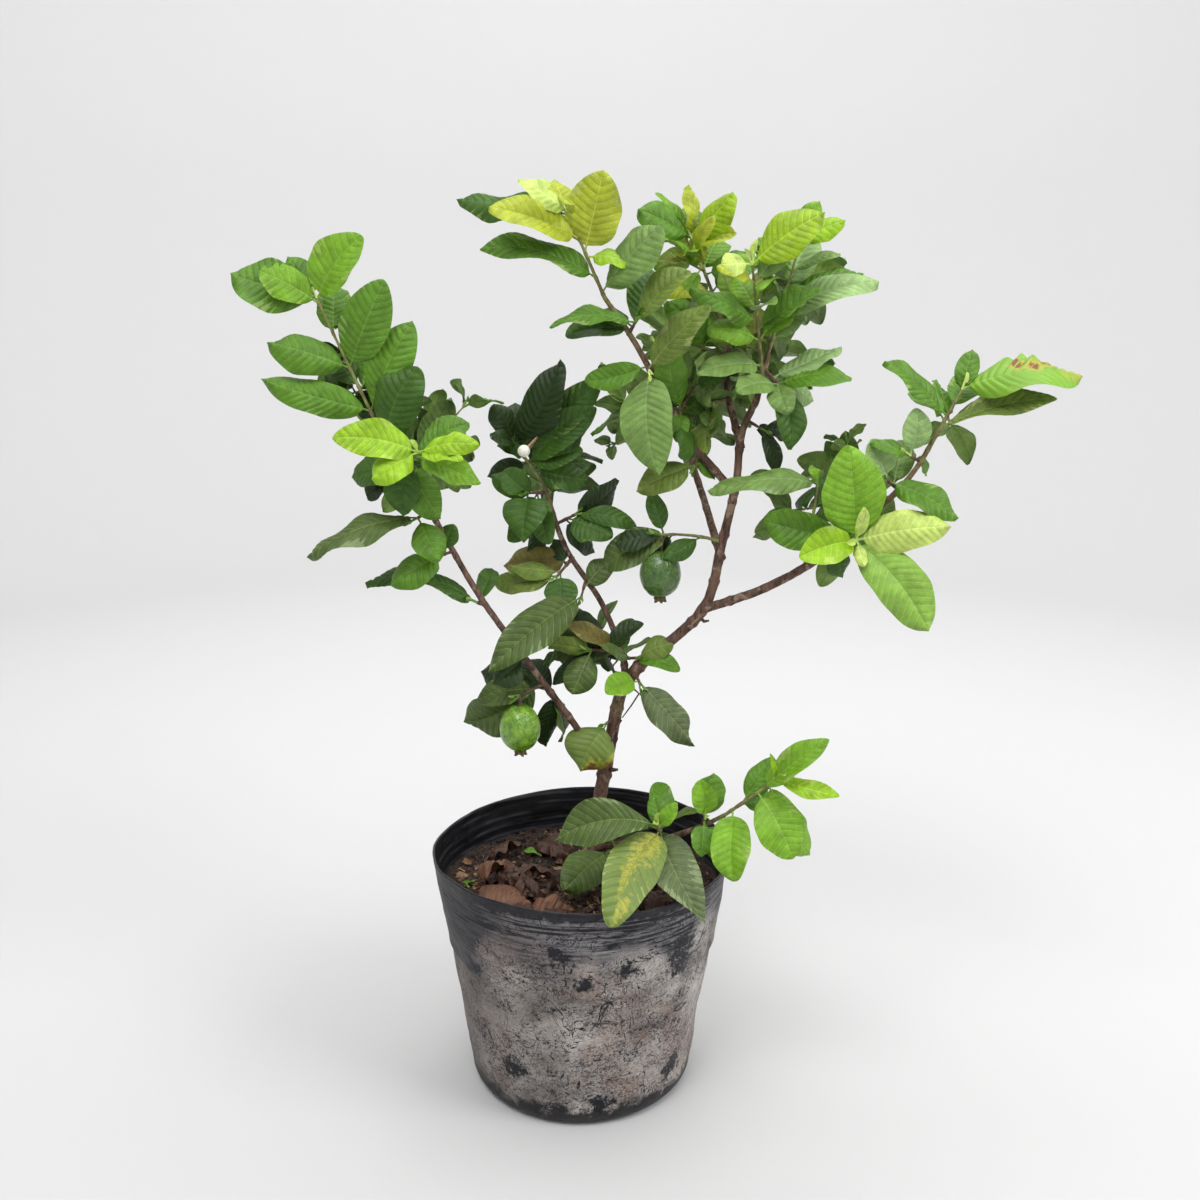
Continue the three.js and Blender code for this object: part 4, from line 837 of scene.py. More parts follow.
def leaf_points(leaf, frame_, look, rows, heights, top, under):
    """The points of both sheets of a blade, and how ailing it is at each."""
    length, half_wide = leaf["length"], leaf["width"] / 2
    power = math.log(0.5) / math.log(look["widest"])
    side = frame_[0]
    share = PETIOLE / length

    def outline(s, sign):
        """Half the blade's width, uneven on its two sides, with any bites out of its margin."""
        full = np.sin(math.pi * s ** power) ** between((look["blunt"], look["tip"]), s)
        full = full * (1 + look["uneven"] * np.sin(8 * s + look["left"] + 2.5 * sign)
                       + 0.4 * look["uneven"] * np.sin(21 * s + look["right"] - 2 * sign))
        for place, bitten, reach, depth in look["bites"]:
            full = full * (1 - depth * (sign == bitten) * np.exp(-(((s - place) / reach) ** 4)))
        return half_wide * full + between((PETIOLE_HALF, 0.25), s)

    def sheet(columns, below):
        """One sheet. t runs along the midrib, and q from margin to margin; s and out are the
        same once the side veins sweep forward."""
        t, q = rows[:, None], columns[None, :]
        sign = np.sign(q) + (q == 0)
        sweep = 4 * VEIN_SWEEP * t * (1 - t)
        middle, edge = t - sweep, t + sweep
        wide = outline(np.clip(edge, 0, 1), sign)
        rib = np.minimum(RIB_HALF * (1 - 0.75 * middle), 0.35 * wide) / wide
        by_rib = np.abs(q) == RIB_COLUMN
        out = np.where(by_rib, rib, np.abs(q))
        s = middle + (edge - middle) * out ** 1.2
        across = np.sign(q) * out * wide
        # the blade rises from its fold, curls down at the margins and waves there
        fold = rad(look["fold"])
        lift = np.abs(across) * math.sin(fold) - look["curl"] * half_wide * out ** 2.2
        phase = np.where(q < 0, look["left"], look["right"])
        swell = np.sin(math.pi * np.clip(s, 0, 1)) ** 0.5
        lift = lift + look["wave"] * swell * out ** 2 * np.sin(math.tau * look["waves"] * s + phase)
        lift = lift + look["nod"] * length * s ** 3
        # panels stand above their side veins, and the midrib above or below them
        relief = look["quilt"] * np.interp(out, (0, 0.2, 0.7, 1), (0.4, 1, 0.75, 0.2))
        lift = lift + 0.5 * relief * heights[:, None]
        crest, shoulder = KEEL if below else CREST
        ridge = np.where(q == 0, crest, np.where(by_rib, shoulder, 0.0))
        if below:
            lift = lift - BLADE_THICK - ridge * (1 - 0.8 * s)
        else:
            lift = lift - ridge * (1 - 0.6 * s)
        # the blade twists about its midrib and bows sideways
        across = across * math.cos(fold)
        roll = rad(look["twirl"]) * s
        flat = across * np.cos(roll) - lift * np.sin(roll) + look["sickle"] * length * 4 * s * (1 - s)
        high = across * np.sin(roll) + lift * np.cos(roll)
        ailing = np.zeros(s.shape)
        for place, beside, reach, breadth, strength in look["spots"]:
            far = ((s - place) / reach) ** 2 + ((q - beside) / breadth) ** 2
            ailing = np.maximum(ailing, strength * np.exp(-far))
        centre, outward = on_arc(leaf, frame_, share + (1 - share) * s)
        points = centre + side * flat[..., None] + outward * high[..., None]
        return points.reshape(-1, 3), ailing.ravel()

    parts = [sheet(top, False), sheet(under, True)]
    return [np.concatenate(found) for found in zip(*parts)]


def add_leaf(batch, leaf, frame_, tone, seed):
    """A blade with sunken veins above and a keel below, on its stalk."""
    draw = np.random.default_rng(seed)
    look = own_look(leaf, draw)
    tone = look.get("tone", tone)
    veins = int(np.clip(leaf["length"] / VEIN_GAP + 1, *VEINS))
    lattice, (loops, sizes, kinds, panels) = leaf_pattern(veins)
    most = len(SHADES) - 1
    faces = [ailing_material(tone, k) if look["spots"] else leaf_material(tone, "blade", k)
             for k in range(most + 1)]
    face_slots = np.array([batch.slot(material) for material in faces])
    vein = batch.slot(leaf_material(tone, "vein"))
    under = batch.slot(leaf_material(tone, "under"))
    wander = draw.uniform(-PANEL_PLAY, PANEL_PLAY, size=panels.max() + 1)
    shade = np.clip(np.round(look["shade"] * most + wander), 0, most).astype(int)
    slots = face_slots[shade[panels]]
    slots[(kinds == VEIN) | (kinds == RIB) | (kinds == UNDER_RIB)] = vein
    slots[kinds == UNDER] = under
    points, ailing = leaf_points(leaf, frame_, look, *lattice)
    batch.add(points, loops, sizes, slots, ailing)
    stalk = on_arc(leaf, frame_, np.linspace(0, 1.3 * PETIOLE / leaf["length"], 4))[0]
    stalk -= frame_[2] * 0.5
    batch.add(*tube(stalk, np.linspace(*STALK_RADII, 4), 6), vein)


# ---- stems ---------------------------------------------------------------------------------------
SWELL_REACH = 1.8                 # of a stem's small swellings where its leaves stand
SWELL_HEIGHT = 0.28
STEM_RING_GAP = 2.5
TWIG_ROOT = 2.5                   # how far a mass's stem starts inside its limb
FINE_GAP = 34                     # length of stem for each fine twig
FINE_TWIG = dict(
    pairs=2, bow=0, first=0.55, last=1, spread=58, twist=80, tip=0.9, radius=1.1, turn=180)
FINE_RANGES = dict(roll=(0, 180), plump=(0.46, 0.56), length=(24, 40), leaf=(40, 58), tilt=(20, 60))
BUD_LEAF = dict(fold=34, curl=0, wave=0.2, quilt=0.3)


def limb_route(name):
    return np.array(LIMBS[name][1], float)


def on_limb(name, share):
    """A point of a limb's centre line, on a Catmull-Rom curve through its waypoints."""
    route = limb_route(name)
    place = share * (len(route) - 1)
    i = min(int(place), len(route) - 2)
    t = place - i
    before = route[i - 1] if i else 2 * route[0] - route[1]
    after = route[i + 2] if i + 2 < len(route) else 2 * route[-1] - route[-2]
    a, b = (route[i + 1] - before) / 2, (after - route[i]) / 2
    gap = route[i + 1] - route[i]
    return route[i] + a * t + (3 * gap - 2 * a - b) * t ** 2 + (a + b - 2 * gap) * t ** 3


def limb_share(name, height):
    """How far along a rising limb it reaches a height, by halving."""
    if height == END:
        return 1.0
    low, high = 0.0, 1.0
    for _ in range(40):
        middle = (low + high) / 2
        if on_limb(name, middle)[2] < height:
            low = middle
        else:
            high = middle
    return low


def stem_points(start, stem_):
    steps = BOWED_STEPS if stem_["bow"] else 1
    points = [start]
    for i in range(steps):
        heading = stem_["heading"] + stem_["bow"] * ((i + 0.5) / steps)
        points.append(points[-1] + pointing(heading, stem_["lean"]) * stem_["length"] / steps)
    return points


def on_stem(points, share):
    place = min(share, 1) * (len(points) - 1)
    step = min(int(place), len(points) - 2)
    return points[step] + (points[step + 1] - points[step]) * (place - step)


def around(stem_, heading, angle):
    """The stem's own way, and the way out of it at an angle round it."""
    axis = pointing(heading, stem_["lean"])
    across = pointing(heading + 90, 0)
    return axis, across * math.cos(angle) + np.cross(axis, across) * math.sin(angle)


def leaves_on_stem(points, stem_, random):
    """Opposite pairs of leaves, as the solids' rule draws them."""
    leaves = []
    for i in range(stem_["pairs"]):
        share = i / (stem_["pairs"] - 1) if stem_["pairs"] > 1 else 1
        at = stem_["first"] + (stem_["last"] - stem_["first"]) * share
        for sign in (1, -1):
            spread = rad(stem_["spread"] + between((-SPREAD_PLAY, SPREAD_PLAY), next(random)))
            size = stem_["leaf"] * (1 + (stem_["tip"] - 1) * share) * between(LEAF_SIZE, next(random))
            bend = between(LEAF_BEND, next(random))
            twist = between((-LEAF_TWIST, LEAF_TWIST), next(random))
            angle = rad(stem_["roll"] + stem_["twist"] * i)
            axis, outward = around(stem_, stem_["heading"] + stem_["bow"] * at, angle)
            way = axis * math.cos(spread) + sign * outward * math.sin(spread)
            leaves.append(dict(headed(way), root=on_stem(points, at), length=size,
                               width=size * stem_["plump"], bend=bend, twist=twist, look={}))
    return leaves


def twig_stems(stem_, random):
    """Side twigs spiral up the stem."""
    twigs = []
    for i in range(stem_["twigs"]):
        at = TWIG_FIRST + TWIG_RANGE * (i + between((0.3, 0.7), next(random))) / stem_["twigs"]
        angle = rad(TWIG_SPIRAL * i + between((0, 60), next(random)))
        axis, outward = around(stem_, stem_["heading"], angle)
        way = axis * math.cos(rad(TWIG_SPREAD)) + outward * math.sin(rad(TWIG_SPREAD))
        twigs.append({**stem_, **headed(way), "at": at, "pairs": 2, "bow": 0,
                      "length": stem_["length"] * between(TWIG_LENGTH, next(random)),
                      "radius": stem_["radius"] * TWIG_RADIUS, "leaf": stem_["leaf"] * TWIG_SHARE})
    return twigs


def fine_twigs(stem_, draw):
    """Thin twigs with small leaves on the far side of a long stem, which fill the crown's depth."""
    twigs = []
    count = int(stem_["length"] / FINE_GAP)
    for i in range(count):
        at = TWIG_FIRST + TWIG_RANGE * (i + draw.uniform(0.2, 0.8)) / count
        way = unit(vec(draw.uniform(-0.6, 0.6), draw.uniform(0.6, 1.0), draw.uniform(-0.3, 0.35)))
        twigs.append({**stem_, **headed(way), **FINE_TWIG, **drawn(draw, FINE_RANGES), "at": at})
    return twigs


def add_stem(batch, points, radius, material, nodes):
    """A stem with small swellings at its nodes, where its leaves stand."""
    reach = np.linalg.norm(np.diff(points, axis=0), axis=1).sum()
    shares = np.linspace(0, 1, max(6, int(reach / STEM_RING_GAP)))
    radii = radius * (1 - TWIG_TAPER * shares)
    for at in nodes:
        radii = radii + SWELL_HEIGHT * radius * hump((shares - at) * reach / SWELL_REACH)
    batch.add(*tube([on_stem(points, share) for share in shares], radii, 8), batch.slot(material))


def add_bud(batch, point, way, bud, tone, seed):
    """Two folded young leaves at a stem's tip: their length, how far they open, and their turn."""
    size, opening, turn = bud
    draw = np.random.default_rng(seed)
    side = unit(np.cross(way, vec(0.2, -0.9, 0.4)))
    for sign in (-1, 1):
        outward = turned(side, way, rad(turn)) * sign
        length = size * draw.uniform(0.8, 1.15)
        leaf = dict(headed(unit(way + outward * opening)), root=point, length=length, width=length * 0.3,
                    bend=16, twist=0, look=BUD_LEAF)
        axis = pointing(leaf["heading"], leaf["lean"])
        face = way - outward * 0.8
        flat = unit(np.cross(axis, unit(face - axis * np.dot(face, axis))))
        add_leaf(batch, leaf, arched(axis, flat, leaf["bend"]), tone, seed + 1 + (sign > 0))


# ---- masses: stems and leaves --------------------------------------------------------------------
REGIONS = {  # the pieces that hold the leaves, and how the names of their masses start
    "left": ("left_",), "middle": ("middle_", "fork_", "trunk_leaf", "fruit_spur"),
    "upper_left": ("upper_left_",), "crown": ("crown_", "leader_dark"), "back": ("crown_back",),
    "right": ("right_",), "low": ("low_",)}
SMALL_SHARE = 0.66                # of a leaf that its solid had no room for
OPEN_MASSES = ("fork_behind", "fruit_spur", "low_tip", "upper_left_top")
MASS_SEEDS, TWIG_SEEDS = 1000, 50
TWIG_LEAVES_FROM, BUDS_FROM = 700, 900


def region_of(name):
    """The region whose start of a name is the longest that fits."""
    return max(((len(start), region) for region, starts in REGIONS.items() for start in starts
                if name.startswith(start)))[1]


def corners_of(name):
    """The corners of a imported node, in millimetres, to look points up in."""
    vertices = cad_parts[name].data.vertices
    tree = KDTree(len(vertices))
    for index, vertex in enumerate(vertices):
        tree.insert(vertex.co / MM, index)
    tree.balance()
    return tree


def blade(points, at, heading, lean, length, width, tone=None, bend=BEND, look=None):
    """A leaf from its row in MASSES, on its stem's points."""
    look = {**(look or {}), **({"tone": tone} if tone else {})}
    return dict(root=on_stem(points, at), heading=heading, lean=lean, length=length, width=width,
                bend=bend, twist=0, look=look)


def grow_mass(name, leaves, number):
    """Grows one mass again: its own stem and leaves, the rule's pairs, and its side twigs."""
    stem_, tones, rows = MASSES[name]
    tones = tones.split()
    seed = MASS_SEEDS * number
    draw = np.random.default_rng(number)
    corners = corners_of(f"foliage_{name}")
    random = stream(stem_["seed"])
    start = on_limb(stem_["limb"], limb_share(stem_["limb"], stem_["height"]))
    way = pointing(stem_["heading"], stem_["lean"])
    if stem_["height"] == END:
        start = start + way * GAP
    points = stem_points(start, stem_)
    bark = young_bark() if stem_["height"] == END or stem_["length"] > 40 else old_bark()
    tip_tone = "yellow" if tones[0] in ("green", "fresh") or stem_["bud"][0] else "green"

    def put(leaf, index):
        """A leaf as its solid has it, or a smaller one where its solid had no room."""
        frame_ = grown(leaf, stem_, corners)
        if frame_ is None:
            if "tone" not in leaf["look"]:
                leaf = dict(leaf, length=leaf["length"] * SMALL_SHARE, width=leaf["width"] * SMALL_SHARE)
            frame_ = leaf_frame(leaf, stem_)
        tone = tones[draw.integers(len(tones))]
        batch = AILING if "spots" in leaf["look"] else leaves
        add_leaf(batch, leaf, frame_, tone, seed + index)

    count = 0
    for leaf in [blade(points, *row) for row in rows] + leaves_on_stem(points, stem_, random):
        count += 1
        put(leaf, count)
    sunk = [start - way * TWIG_ROOT, *points[1:]]
    add_stem(TWIGS, sunk, stem_["radius"], bark, {row[0] for row in rows})
    small = (draw.uniform(10, 16), 0.35, draw.uniform(0, 180))
    add_bud(leaves, points[-1], way, stem_["bud"] if stem_["bud"][0] else small, tip_tone, seed + BUDS_FROM)
    for i, twig in enumerate(fine_twigs(stem_, draw) if name not in OPEN_MASSES else ()):
        twig_points = stem_points(on_stem(points, twig["at"]), twig)
        add_stem(TWIGS, twig_points, twig["radius"], young_bark(), (twig["first"], 1.0))
        for k, leaf in enumerate(leaves_on_stem(twig_points, twig, stream(number * TWIG_SEEDS + i))):
            tone = tones[draw.integers(len(tones))]
            add_leaf(leaves, leaf, leaf_frame(leaf, twig), tone, seed + TWIG_LEAVES_FROM + 10 * i + k)
    for i, twig in enumerate(twig_stems(stem_, random)):
        twig_points = stem_points(on_stem(points, twig["at"]), twig)
        for leaf in leaves_on_stem(twig_points, twig, random):
            count += 1
            put(leaf, count)
        add_stem(TWIGS, twig_points, twig["radius"], bark, (twig["first"], 1.0))
        small = (draw.uniform(9, 14), 0.35, draw.uniform(0, 180))
        add_bud(leaves, twig_points[-1], pointing(twig["heading"], twig["lean"]), small, tip_tone,
                seed + BUDS_FROM + 10 + i)
    return points[-1]


# ---- fruit -----------------------------------------------------------------------------------------
FRUIT_TONES = {  # two tones of the skin, and its pale specks
    "light": ("467316", "80aa2e", "b6cc62"), "dark": ("2c4c16", "4c7024", "7f9c4a")}
FRUIT_KINDS = {"left_fork": "light", "fruit_spur": "dark"}
FRUIT_SIDES, FRUIT_RINGS = 56, 44
STALK_BEND = 0.8
STALK_SINK = 2.5                  # how far the stalk runs into the fruit
SEPALS = 5
CALYX = ((0, 1.4, 3.2, 4.6), (5.0, 5.8, 6.2, 5.0))        # depths below the fruit, and radii there
SEPAL = ((0, 1.8, 3.6, 5.2), (2.3, 2.1, 1.4, 0.3))
CALYX_SINK = 1.5


@cache
def fruit_material(ripeness):
    """Green guava skin: glossy, pitted and speckled, paler in patches."""
    dark, light, speck = FRUIT_TONES[ripeness]
    material = shader(f"guava_skin_{ripeness}", rgb(light), 0.3, Coat_Weight=0.5, Coat_Roughness=0.16)
    n = Nodes(material)
    skin = n.mix(n.ramp(n.noise(170, 5, 0.7), 0.36, 0.64), dark, light)
    pits = n.cells(420)
    n.color(n.mix(n.ramp(n.plus(pits, n.noise(500, 2)), 0.35, 0.75, 0.75, 0), skin, speck))
    n.roughness(n.ramp(n.noise(300), 0.3, 0.7, 0.18, 0.32))
    n.bump(n.plus(pits, n.noise(700, 2)), 0.5, 0.0011)
    return material


@cache
def dry_calyx():
    return mottled("dry_calyx", "5a4a2c", 0.85, ("3c2f1e", "7d7342"), (600, 3, 0.35, 0.65),
                   (1200, 3, 0.5, 0.0005))


def fruit_skin(seed):
    """A round guava about its top's height: a drawn-in neck, faint ribs, and hollows at both ends."""
    turn = np.linspace(0.02, math.pi - 0.02, FRUIT_RINGS)[:, None]
    angle = round_angles(FRUIT_SIDES)[None, :]
    neck = 1 - 0.16 * hump(turn / 0.75)
    radius = (FRUIT_WIDTH / 2) * np.sin(turn) ** 0.92 * neck
    radius = radius * (1 + 0.018 * np.cos(5 * angle + 1) * np.sin(turn))
    height = FRUIT_LENGTH / 2 * np.cos(turn) - 1.6 * hump(turn / 0.22) + 1.4 * hump((math.pi - turn) / 0.25)
    points = np.stack([radius * np.cos(angle), radius * np.sin(angle), height + 0 * angle], axis=2)
    points = points.reshape(-1, 3)
    normals = points / np.linalg.norm(points, axis=1, keepdims=True)
    relief = 0.35 * ripple(points, 14, seed) + 0.12 * ripple(points, 4, seed + 1)
    return points + normals * relief[:, None]


def add_fruit(batch, tip, hang, ripeness, seed):
    """A hanging guava on its stalk, with the dried calyx below."""
    foot = tip - vec(0, 0, hang)
    stalk = np.linspace(tip, foot - vec(0, 0, STALK_SINK), 7)
    stalk[:, 0] += STALK_BEND * np.sin(np.linspace(0, math.pi, 7))
    radii = np.linspace(FRUIT_STALK * 0.8, FRUIT_STALK * 1.25, 7)
    batch.add(*tube(stalk, radii, 10), batch.slot(old_bark()))
    points = fruit_skin(seed) + foot - vec(0, 0, FRUIT_LENGTH / 2)
    loops, sizes = closed_faces(FRUIT_RINGS, FRUIT_SIDES, falling=True)
    batch.add(points, loops, sizes, batch.slot(fruit_material(ripeness)))
    bottom = foot - vec(0, 0, FRUIT_LENGTH - CALYX_SINK)
    draw = np.random.default_rng(seed)
    dry = batch.slot(dry_calyx())
    batch.add(*tube([bottom - vec(0, 0, depth) for depth in CALYX[0]], CALYX[1], 20), dry)
    for k in range(SEPALS):
        heading = math.tau * k / SEPALS + draw.uniform(-0.2, 0.2)
        out = vec(0.75 * math.cos(heading), 0.75 * math.sin(heading), -1.0)
        curve = [bottom + vec(4 * out[0], 4 * out[1], -3) + out * d + vec(0, 0, 0.07 * d * d)
                 for d in SEPAL[0]]
        batch.add(*tube(curve, SEPAL[1], 6), dry)


# ---- bark ------------------------------------------------------------------------------------------
CHILDREN = {
    "trunk": ("bough_left", "bough_low"),
    "leader": ("bough_middle", "bough_upper_left", "bough_crown", "bough_right", "bough_back")}
OLD_LIMBS = ("trunk", "leader")   # whose ends are less green
NODE_GAP = 42                     # distance between the old leaf nodes of a limb
NODE_PLAY = 8
NODE_REACH = 2.6
FORK_REACH = 1.3                  # beside the limb's radius
SWELLING = 0.16                   # of nodes and forks, beside the radius
FOOT_SWELLING = 0.12
LIMB_SIDES = 20
LIMB_RING_GAP = 1.9
LIMB_SEEDS = 200
LINE_STEPS = 400                  # of a limb's line, to measure it
GRAIN = 0.3                       # how much longer bark's features are upward than across
BARK_RELIEF = ((5.5, 0.035), (16, 0.03), (30, 0.05))      # size of bumps, and height beside the radius


@cache
def old_bark():
    return mottled("old_bark", "5c4136", 0.8, ("432c25", "77594a"), (160, 4, 0.35, 0.68),
                   (900, 4, 0.5, 0.0006), ((420, 2, 0.62, 0.72), "8c7a63"))


@cache
def young_bark():
    return mottled("young_bark", "7c7d45", 0.65, ("6c5a3c", "8b9a52"), (120, 3, 0.35, 0.7),
                   (1100, 3, 0.4, 0.0005), ((500, 2, 0.6, 0.72), "5d4234"))


@cache
def limb_bark():
    """Thin brown bark: dark cracks along the limb, tan flakes, and green young ends by age."""
    material = shader("limb_bark", rgb("5c4136"), 0.78)
    n = Nodes(material)
    drawn_out = n.stretched((1, 1, GRAIN))
    tone = n.mix(n.ramp(n.noise(150, 5, 0.6, drawn_out), 0.32, 0.7), "35221c", "80604f")
    flake = n.ramp(n.noise(75, 4, 0.6, warp=0.6), 0.56, 0.62)
    tone = n.mix(n.times(flake, 0.65), tone, "a08a74")
    crack = n.ramp(n.noise(420, 4, 0.6, drawn_out), 0.36, 0.44, 1, 0)
    tone = n.mix(n.times(crack, 0.8), tone, "241613")
    young = n.mix(n.ramp(n.noise(260), 0.35, 0.7), "6b5038", "7f8a4b")
    n.color(n.mix(n.ramp(n.ragged(n.age(), 0.15, 60), 0.62, 0.95), tone, young))
    n.roughness(n.ramp(n.noise(200), 0.3, 0.7, 0.62, 0.86))
    n.bump(n.plus(n.noise(700, 5, 0.6, drawn_out), flake), 0.5, 0.0007)
    return material


def add_limb(name, seed):
    """A limb with its flare, its leaf nodes, forks that swell, and ridged, flaking bark."""
    (thick, thin), _ = LIMBS[name]
    line = np.array([on_limb(name, i / LINE_STEPS) for i in range(LINE_STEPS + 1)])
    reach = np.concatenate([[0], np.cumsum(np.linalg.norm(np.diff(line, axis=0), axis=1))])
    along = np.linspace(0, reach[-1], int(reach[-1] / LIMB_RING_GAP))
    share = np.interp(along, reach, np.arange(LINE_STEPS + 1) / LINE_STEPS)
    centres = np.array([on_limb(name, s) for s in share])
    angle = round_angles(LIMB_SIDES)
    taper = thick + (thin - thick) * share[:, None]
    radii = taper + 0 * angle[None, :]
    if name == "trunk":
        lobes = 1 - FLARE_LOBE_DEPTH + FLARE_LOBE_DEPTH * np.cos(FLARE_LOBES * angle)[None, :]
        radii = radii + FLARE * np.exp(-share / FLARE_REACH)[:, None] * lobes
    else:
        radii = radii * (1 + FOOT_SWELLING * hump(along / (1.4 * thick)))[:, None]
    draw = np.random.default_rng(seed)
    for place in np.arange(NODE_GAP * 0.6, reach[-1], NODE_GAP):
        place = place + draw.uniform(-NODE_PLAY, NODE_PLAY)
        swell = hump((along - place) / NODE_REACH)[:, None]
        uneven = (1 + 0.6 * np.cos(2 * angle + draw.uniform(0, 6)))[None, :]
        radii = radii + taper * SWELLING * swell * uneven
    for child in CHILDREN.get(name, ()):
        near = np.linalg.norm(centres - limb_route(child)[0], axis=1)
        radii = radii + taper * SWELLING * hump(near / (FORK_REACH * taper[:, 0]))[:, None]
    points, loops, sizes = tube(centres, radii, LIMB_SIDES)
    outward = points - np.repeat(centres, LIMB_SIDES, axis=0)
    outward /= np.linalg.norm(outward, axis=1, keepdims=True)
    size = np.repeat(taper[:, 0], LIMB_SIDES)
    (fine, fine_height), (flake, flake_height), (lump, lump_height) = BARK_RELIEF
    relief = fine_height * size * ripple(points * vec(1, 1, GRAIN), fine, seed + 1)
    relief = relief + flake_height * size * smooth(0.1, 0.35, ripple(points, flake, seed + 2))
    relief = relief + lump_height * size * ripple(points, lump, seed + 3)
    batch = Batch()
    age = np.repeat(share, LIMB_SIDES) * (0.8 if name in OLD_LIMBS else 1)
    batch.add(points + outward * relief[:, None], loops, sizes, batch.slot(limb_bark()), age)
    finished(batch.build(f"{name}_bark"), "bark", name)


# ---- pot -------------------------------------------------------------------------------------------
POT_AROUND = 256
COLLAR_FOOT = 154                 # where the collar's small step shows, and half its height
COLLAR_BLEND = 4
RINGS_FROM, RINGS_TO = 204, 247   # the fine rings of the collar
RING_GAP = 4.7
RING_HEIGHT = 0.42
COARSE_STEP, FINE_STEP = 2.4, 0.95     # between the mesh's rings, below and in the collar
FINE_FROM = 182
UNDERSIDE_RINGS = (20.0, 70.0)
INSIDE_RING = 40.0
PLAIN_WITHIN = 80                 # radius below which nothing is pushed in or out
DENTS = (  # angle from +X in degrees, height, half-widths in degrees and height, and depth
    (262, 140, 13, 16, 2.2), (300, 95, 16, 20, 1.8), (232, 120, 10, 22, 2.0), (285, 168, 9, 9, 1.7),
    (322, 150, 12, 24, 2.6), (205, 165, 12, 18, 3.2), (245, 62, 14, 16, 1.8), (340, 70, 16, 22, 2.2),
    (180, 90, 14, 26, 2.4), (20, 130, 18, 22, 2.6), (60, 80, 20, 24, 2.4), (100, 150, 16, 20, 2.6),
    (140, 110, 18, 26, 2.4), (272, 32, 18, 10, 1.4), (215, 232, 20, 12, 1.6), (338, 226, 16, 14, 1.8))
SMUDGES = (  # bare dark patches: a point on the wall and its reach, in metres
    ((0.005, -0.139, 0.174), 0.017), ((0.098, -0.103, 0.194), 0.032), ((0.097, -0.100, 0.174), 0.028),
    ((-0.066, -0.102, 0.061), 0.024), ((0.090, -0.079, 0.046), 0.024), ((0.045, -0.132, 0.186), 0.014),
    ((-0.105, -0.092, 0.165), 0.022), ((0.02, -0.117, 0.03), 0.022), ((-0.02, -0.141, 0.205), 0.02),
    ((0.10, 0.09, 0.12), 0.03), ((-0.09, 0.10, 0.19), 0.03), ((0.02, 0.135, 0.08), 0.025))
SCRATCHES = (  # size and thinness of a family of scratches, its turn, and its pull along the wall
    (26, 0.005, (0.3, 0.2, 0), 2.6), (46, 0.006, (-0.6, 0.9, 0.5), 0.5), (60, 0.008, (0.2, 0.1, 0), 1.6),
    (34, 0.006, (-0.25, 0.15, 0), 3.2), (120, 0.01, (0, 0.7, 0.3), 0.8), (17, 0.003, (0.14, 0.2, 0), 4.5))


def pot_radius(z):
    slope = (POT_RIM_RADIUS - POT_BASE_RADIUS) / POT_HEIGHT
    step = POT_COLLAR_STEP * smooth(COLLAR_FOOT - COLLAR_BLEND, COLLAR_FOOT + COLLAR_BLEND, z)
    return POT_BASE_RADIUS - POT_COLLAR_STEP + slope * z + step


def softened(radius, angle, z):
    """A ring's points, a little out of round, with the rim's dips."""
    share = np.maximum(0, z - POT_FOOT_ROUND) / POT_HEIGHT
    scale = 1 + POT_OVAL * share * np.cos(2 * angle + POT_OVAL_TURN)
    wave = np.maximum(0, z - POT_WAVE_START) / (POT_HEIGHT - POT_WAVE_START)
    rise = POT_RIM_WAVE * wave * np.sin(2 * angle - POT_WAVE_TURN)
    return np.stack([radius * scale * np.cos(angle), radius * scale * np.sin(angle), z + rise], axis=-1)


def wall_shape(angle, z):
    """How far the thin wall is pushed in or out: rings in the collar, dents, and slow waves."""
    collar = smooth(RINGS_FROM - 6, RINGS_FROM + 2, z) * (1 - smooth(RINGS_TO - 4, RINGS_TO, z))
    strength = 0.6 + 0.4 * np.sin(3 * angle + z / 14)
    push = RING_HEIGHT * collar * strength * np.abs(np.sin(math.pi * z / RING_GAP)) ** 0.6
    for centre, height, wide, tall, depth in DENTS:
        turn = (np.degrees(angle) - centre + 180) % 360 - 180
        push = push - depth * np.exp(-((turn / wide) ** 2) - ((z - height) / tall) ** 2)
    place = np.stack([POT_RIM_RADIUS * np.cos(angle), POT_RIM_RADIUS * np.sin(angle), z], axis=-1)
    slow = ripple(place.reshape(-1, 3), 75, 5).reshape(angle.shape)
    crease = ripple((place * vec(1, 1, 1.6)).reshape(-1, 3), 26, 6).reshape(angle.shape)
    return push + smooth(4, 30, z) * (1.1 * slow + 0.32 * crease)


def dust_and_sheen_rings(n, gap):
    """Thin pale level lines, broken up, for the rings of the wall: dust outside, and dust with a painted
    highlight inside.
    """
    wave = n.maths("SINE", n.times(n.along("Z"), math.tau / gap))
    broken = n.ramp(n.noise(30, 4, 0.6, n.stretched((0.5, 0.5, 2.5))), 0.42, 0.6)
    return n.times(n.ramp(wave, 0.1, 0.95), broken)


def wall_dust(n):
    """Grey-brown dust in three grains, darker towards the left where the light falls less."""
    dust = n.mix(n.ramp(n.noise(15, 8, 0.7), 0.34, 0.66), "66605d", "c0bab6")
    dust = n.mix(n.times(n.ramp(n.noise(9, 7, 0.66), 0.5, 0.62), 0.55), dust, "7d5f50")
    return n.mix(n.times(n.ramp(n.noise(480, 4, 0.7), 0.48, 0.66), 0.5), dust, "bab4ac")


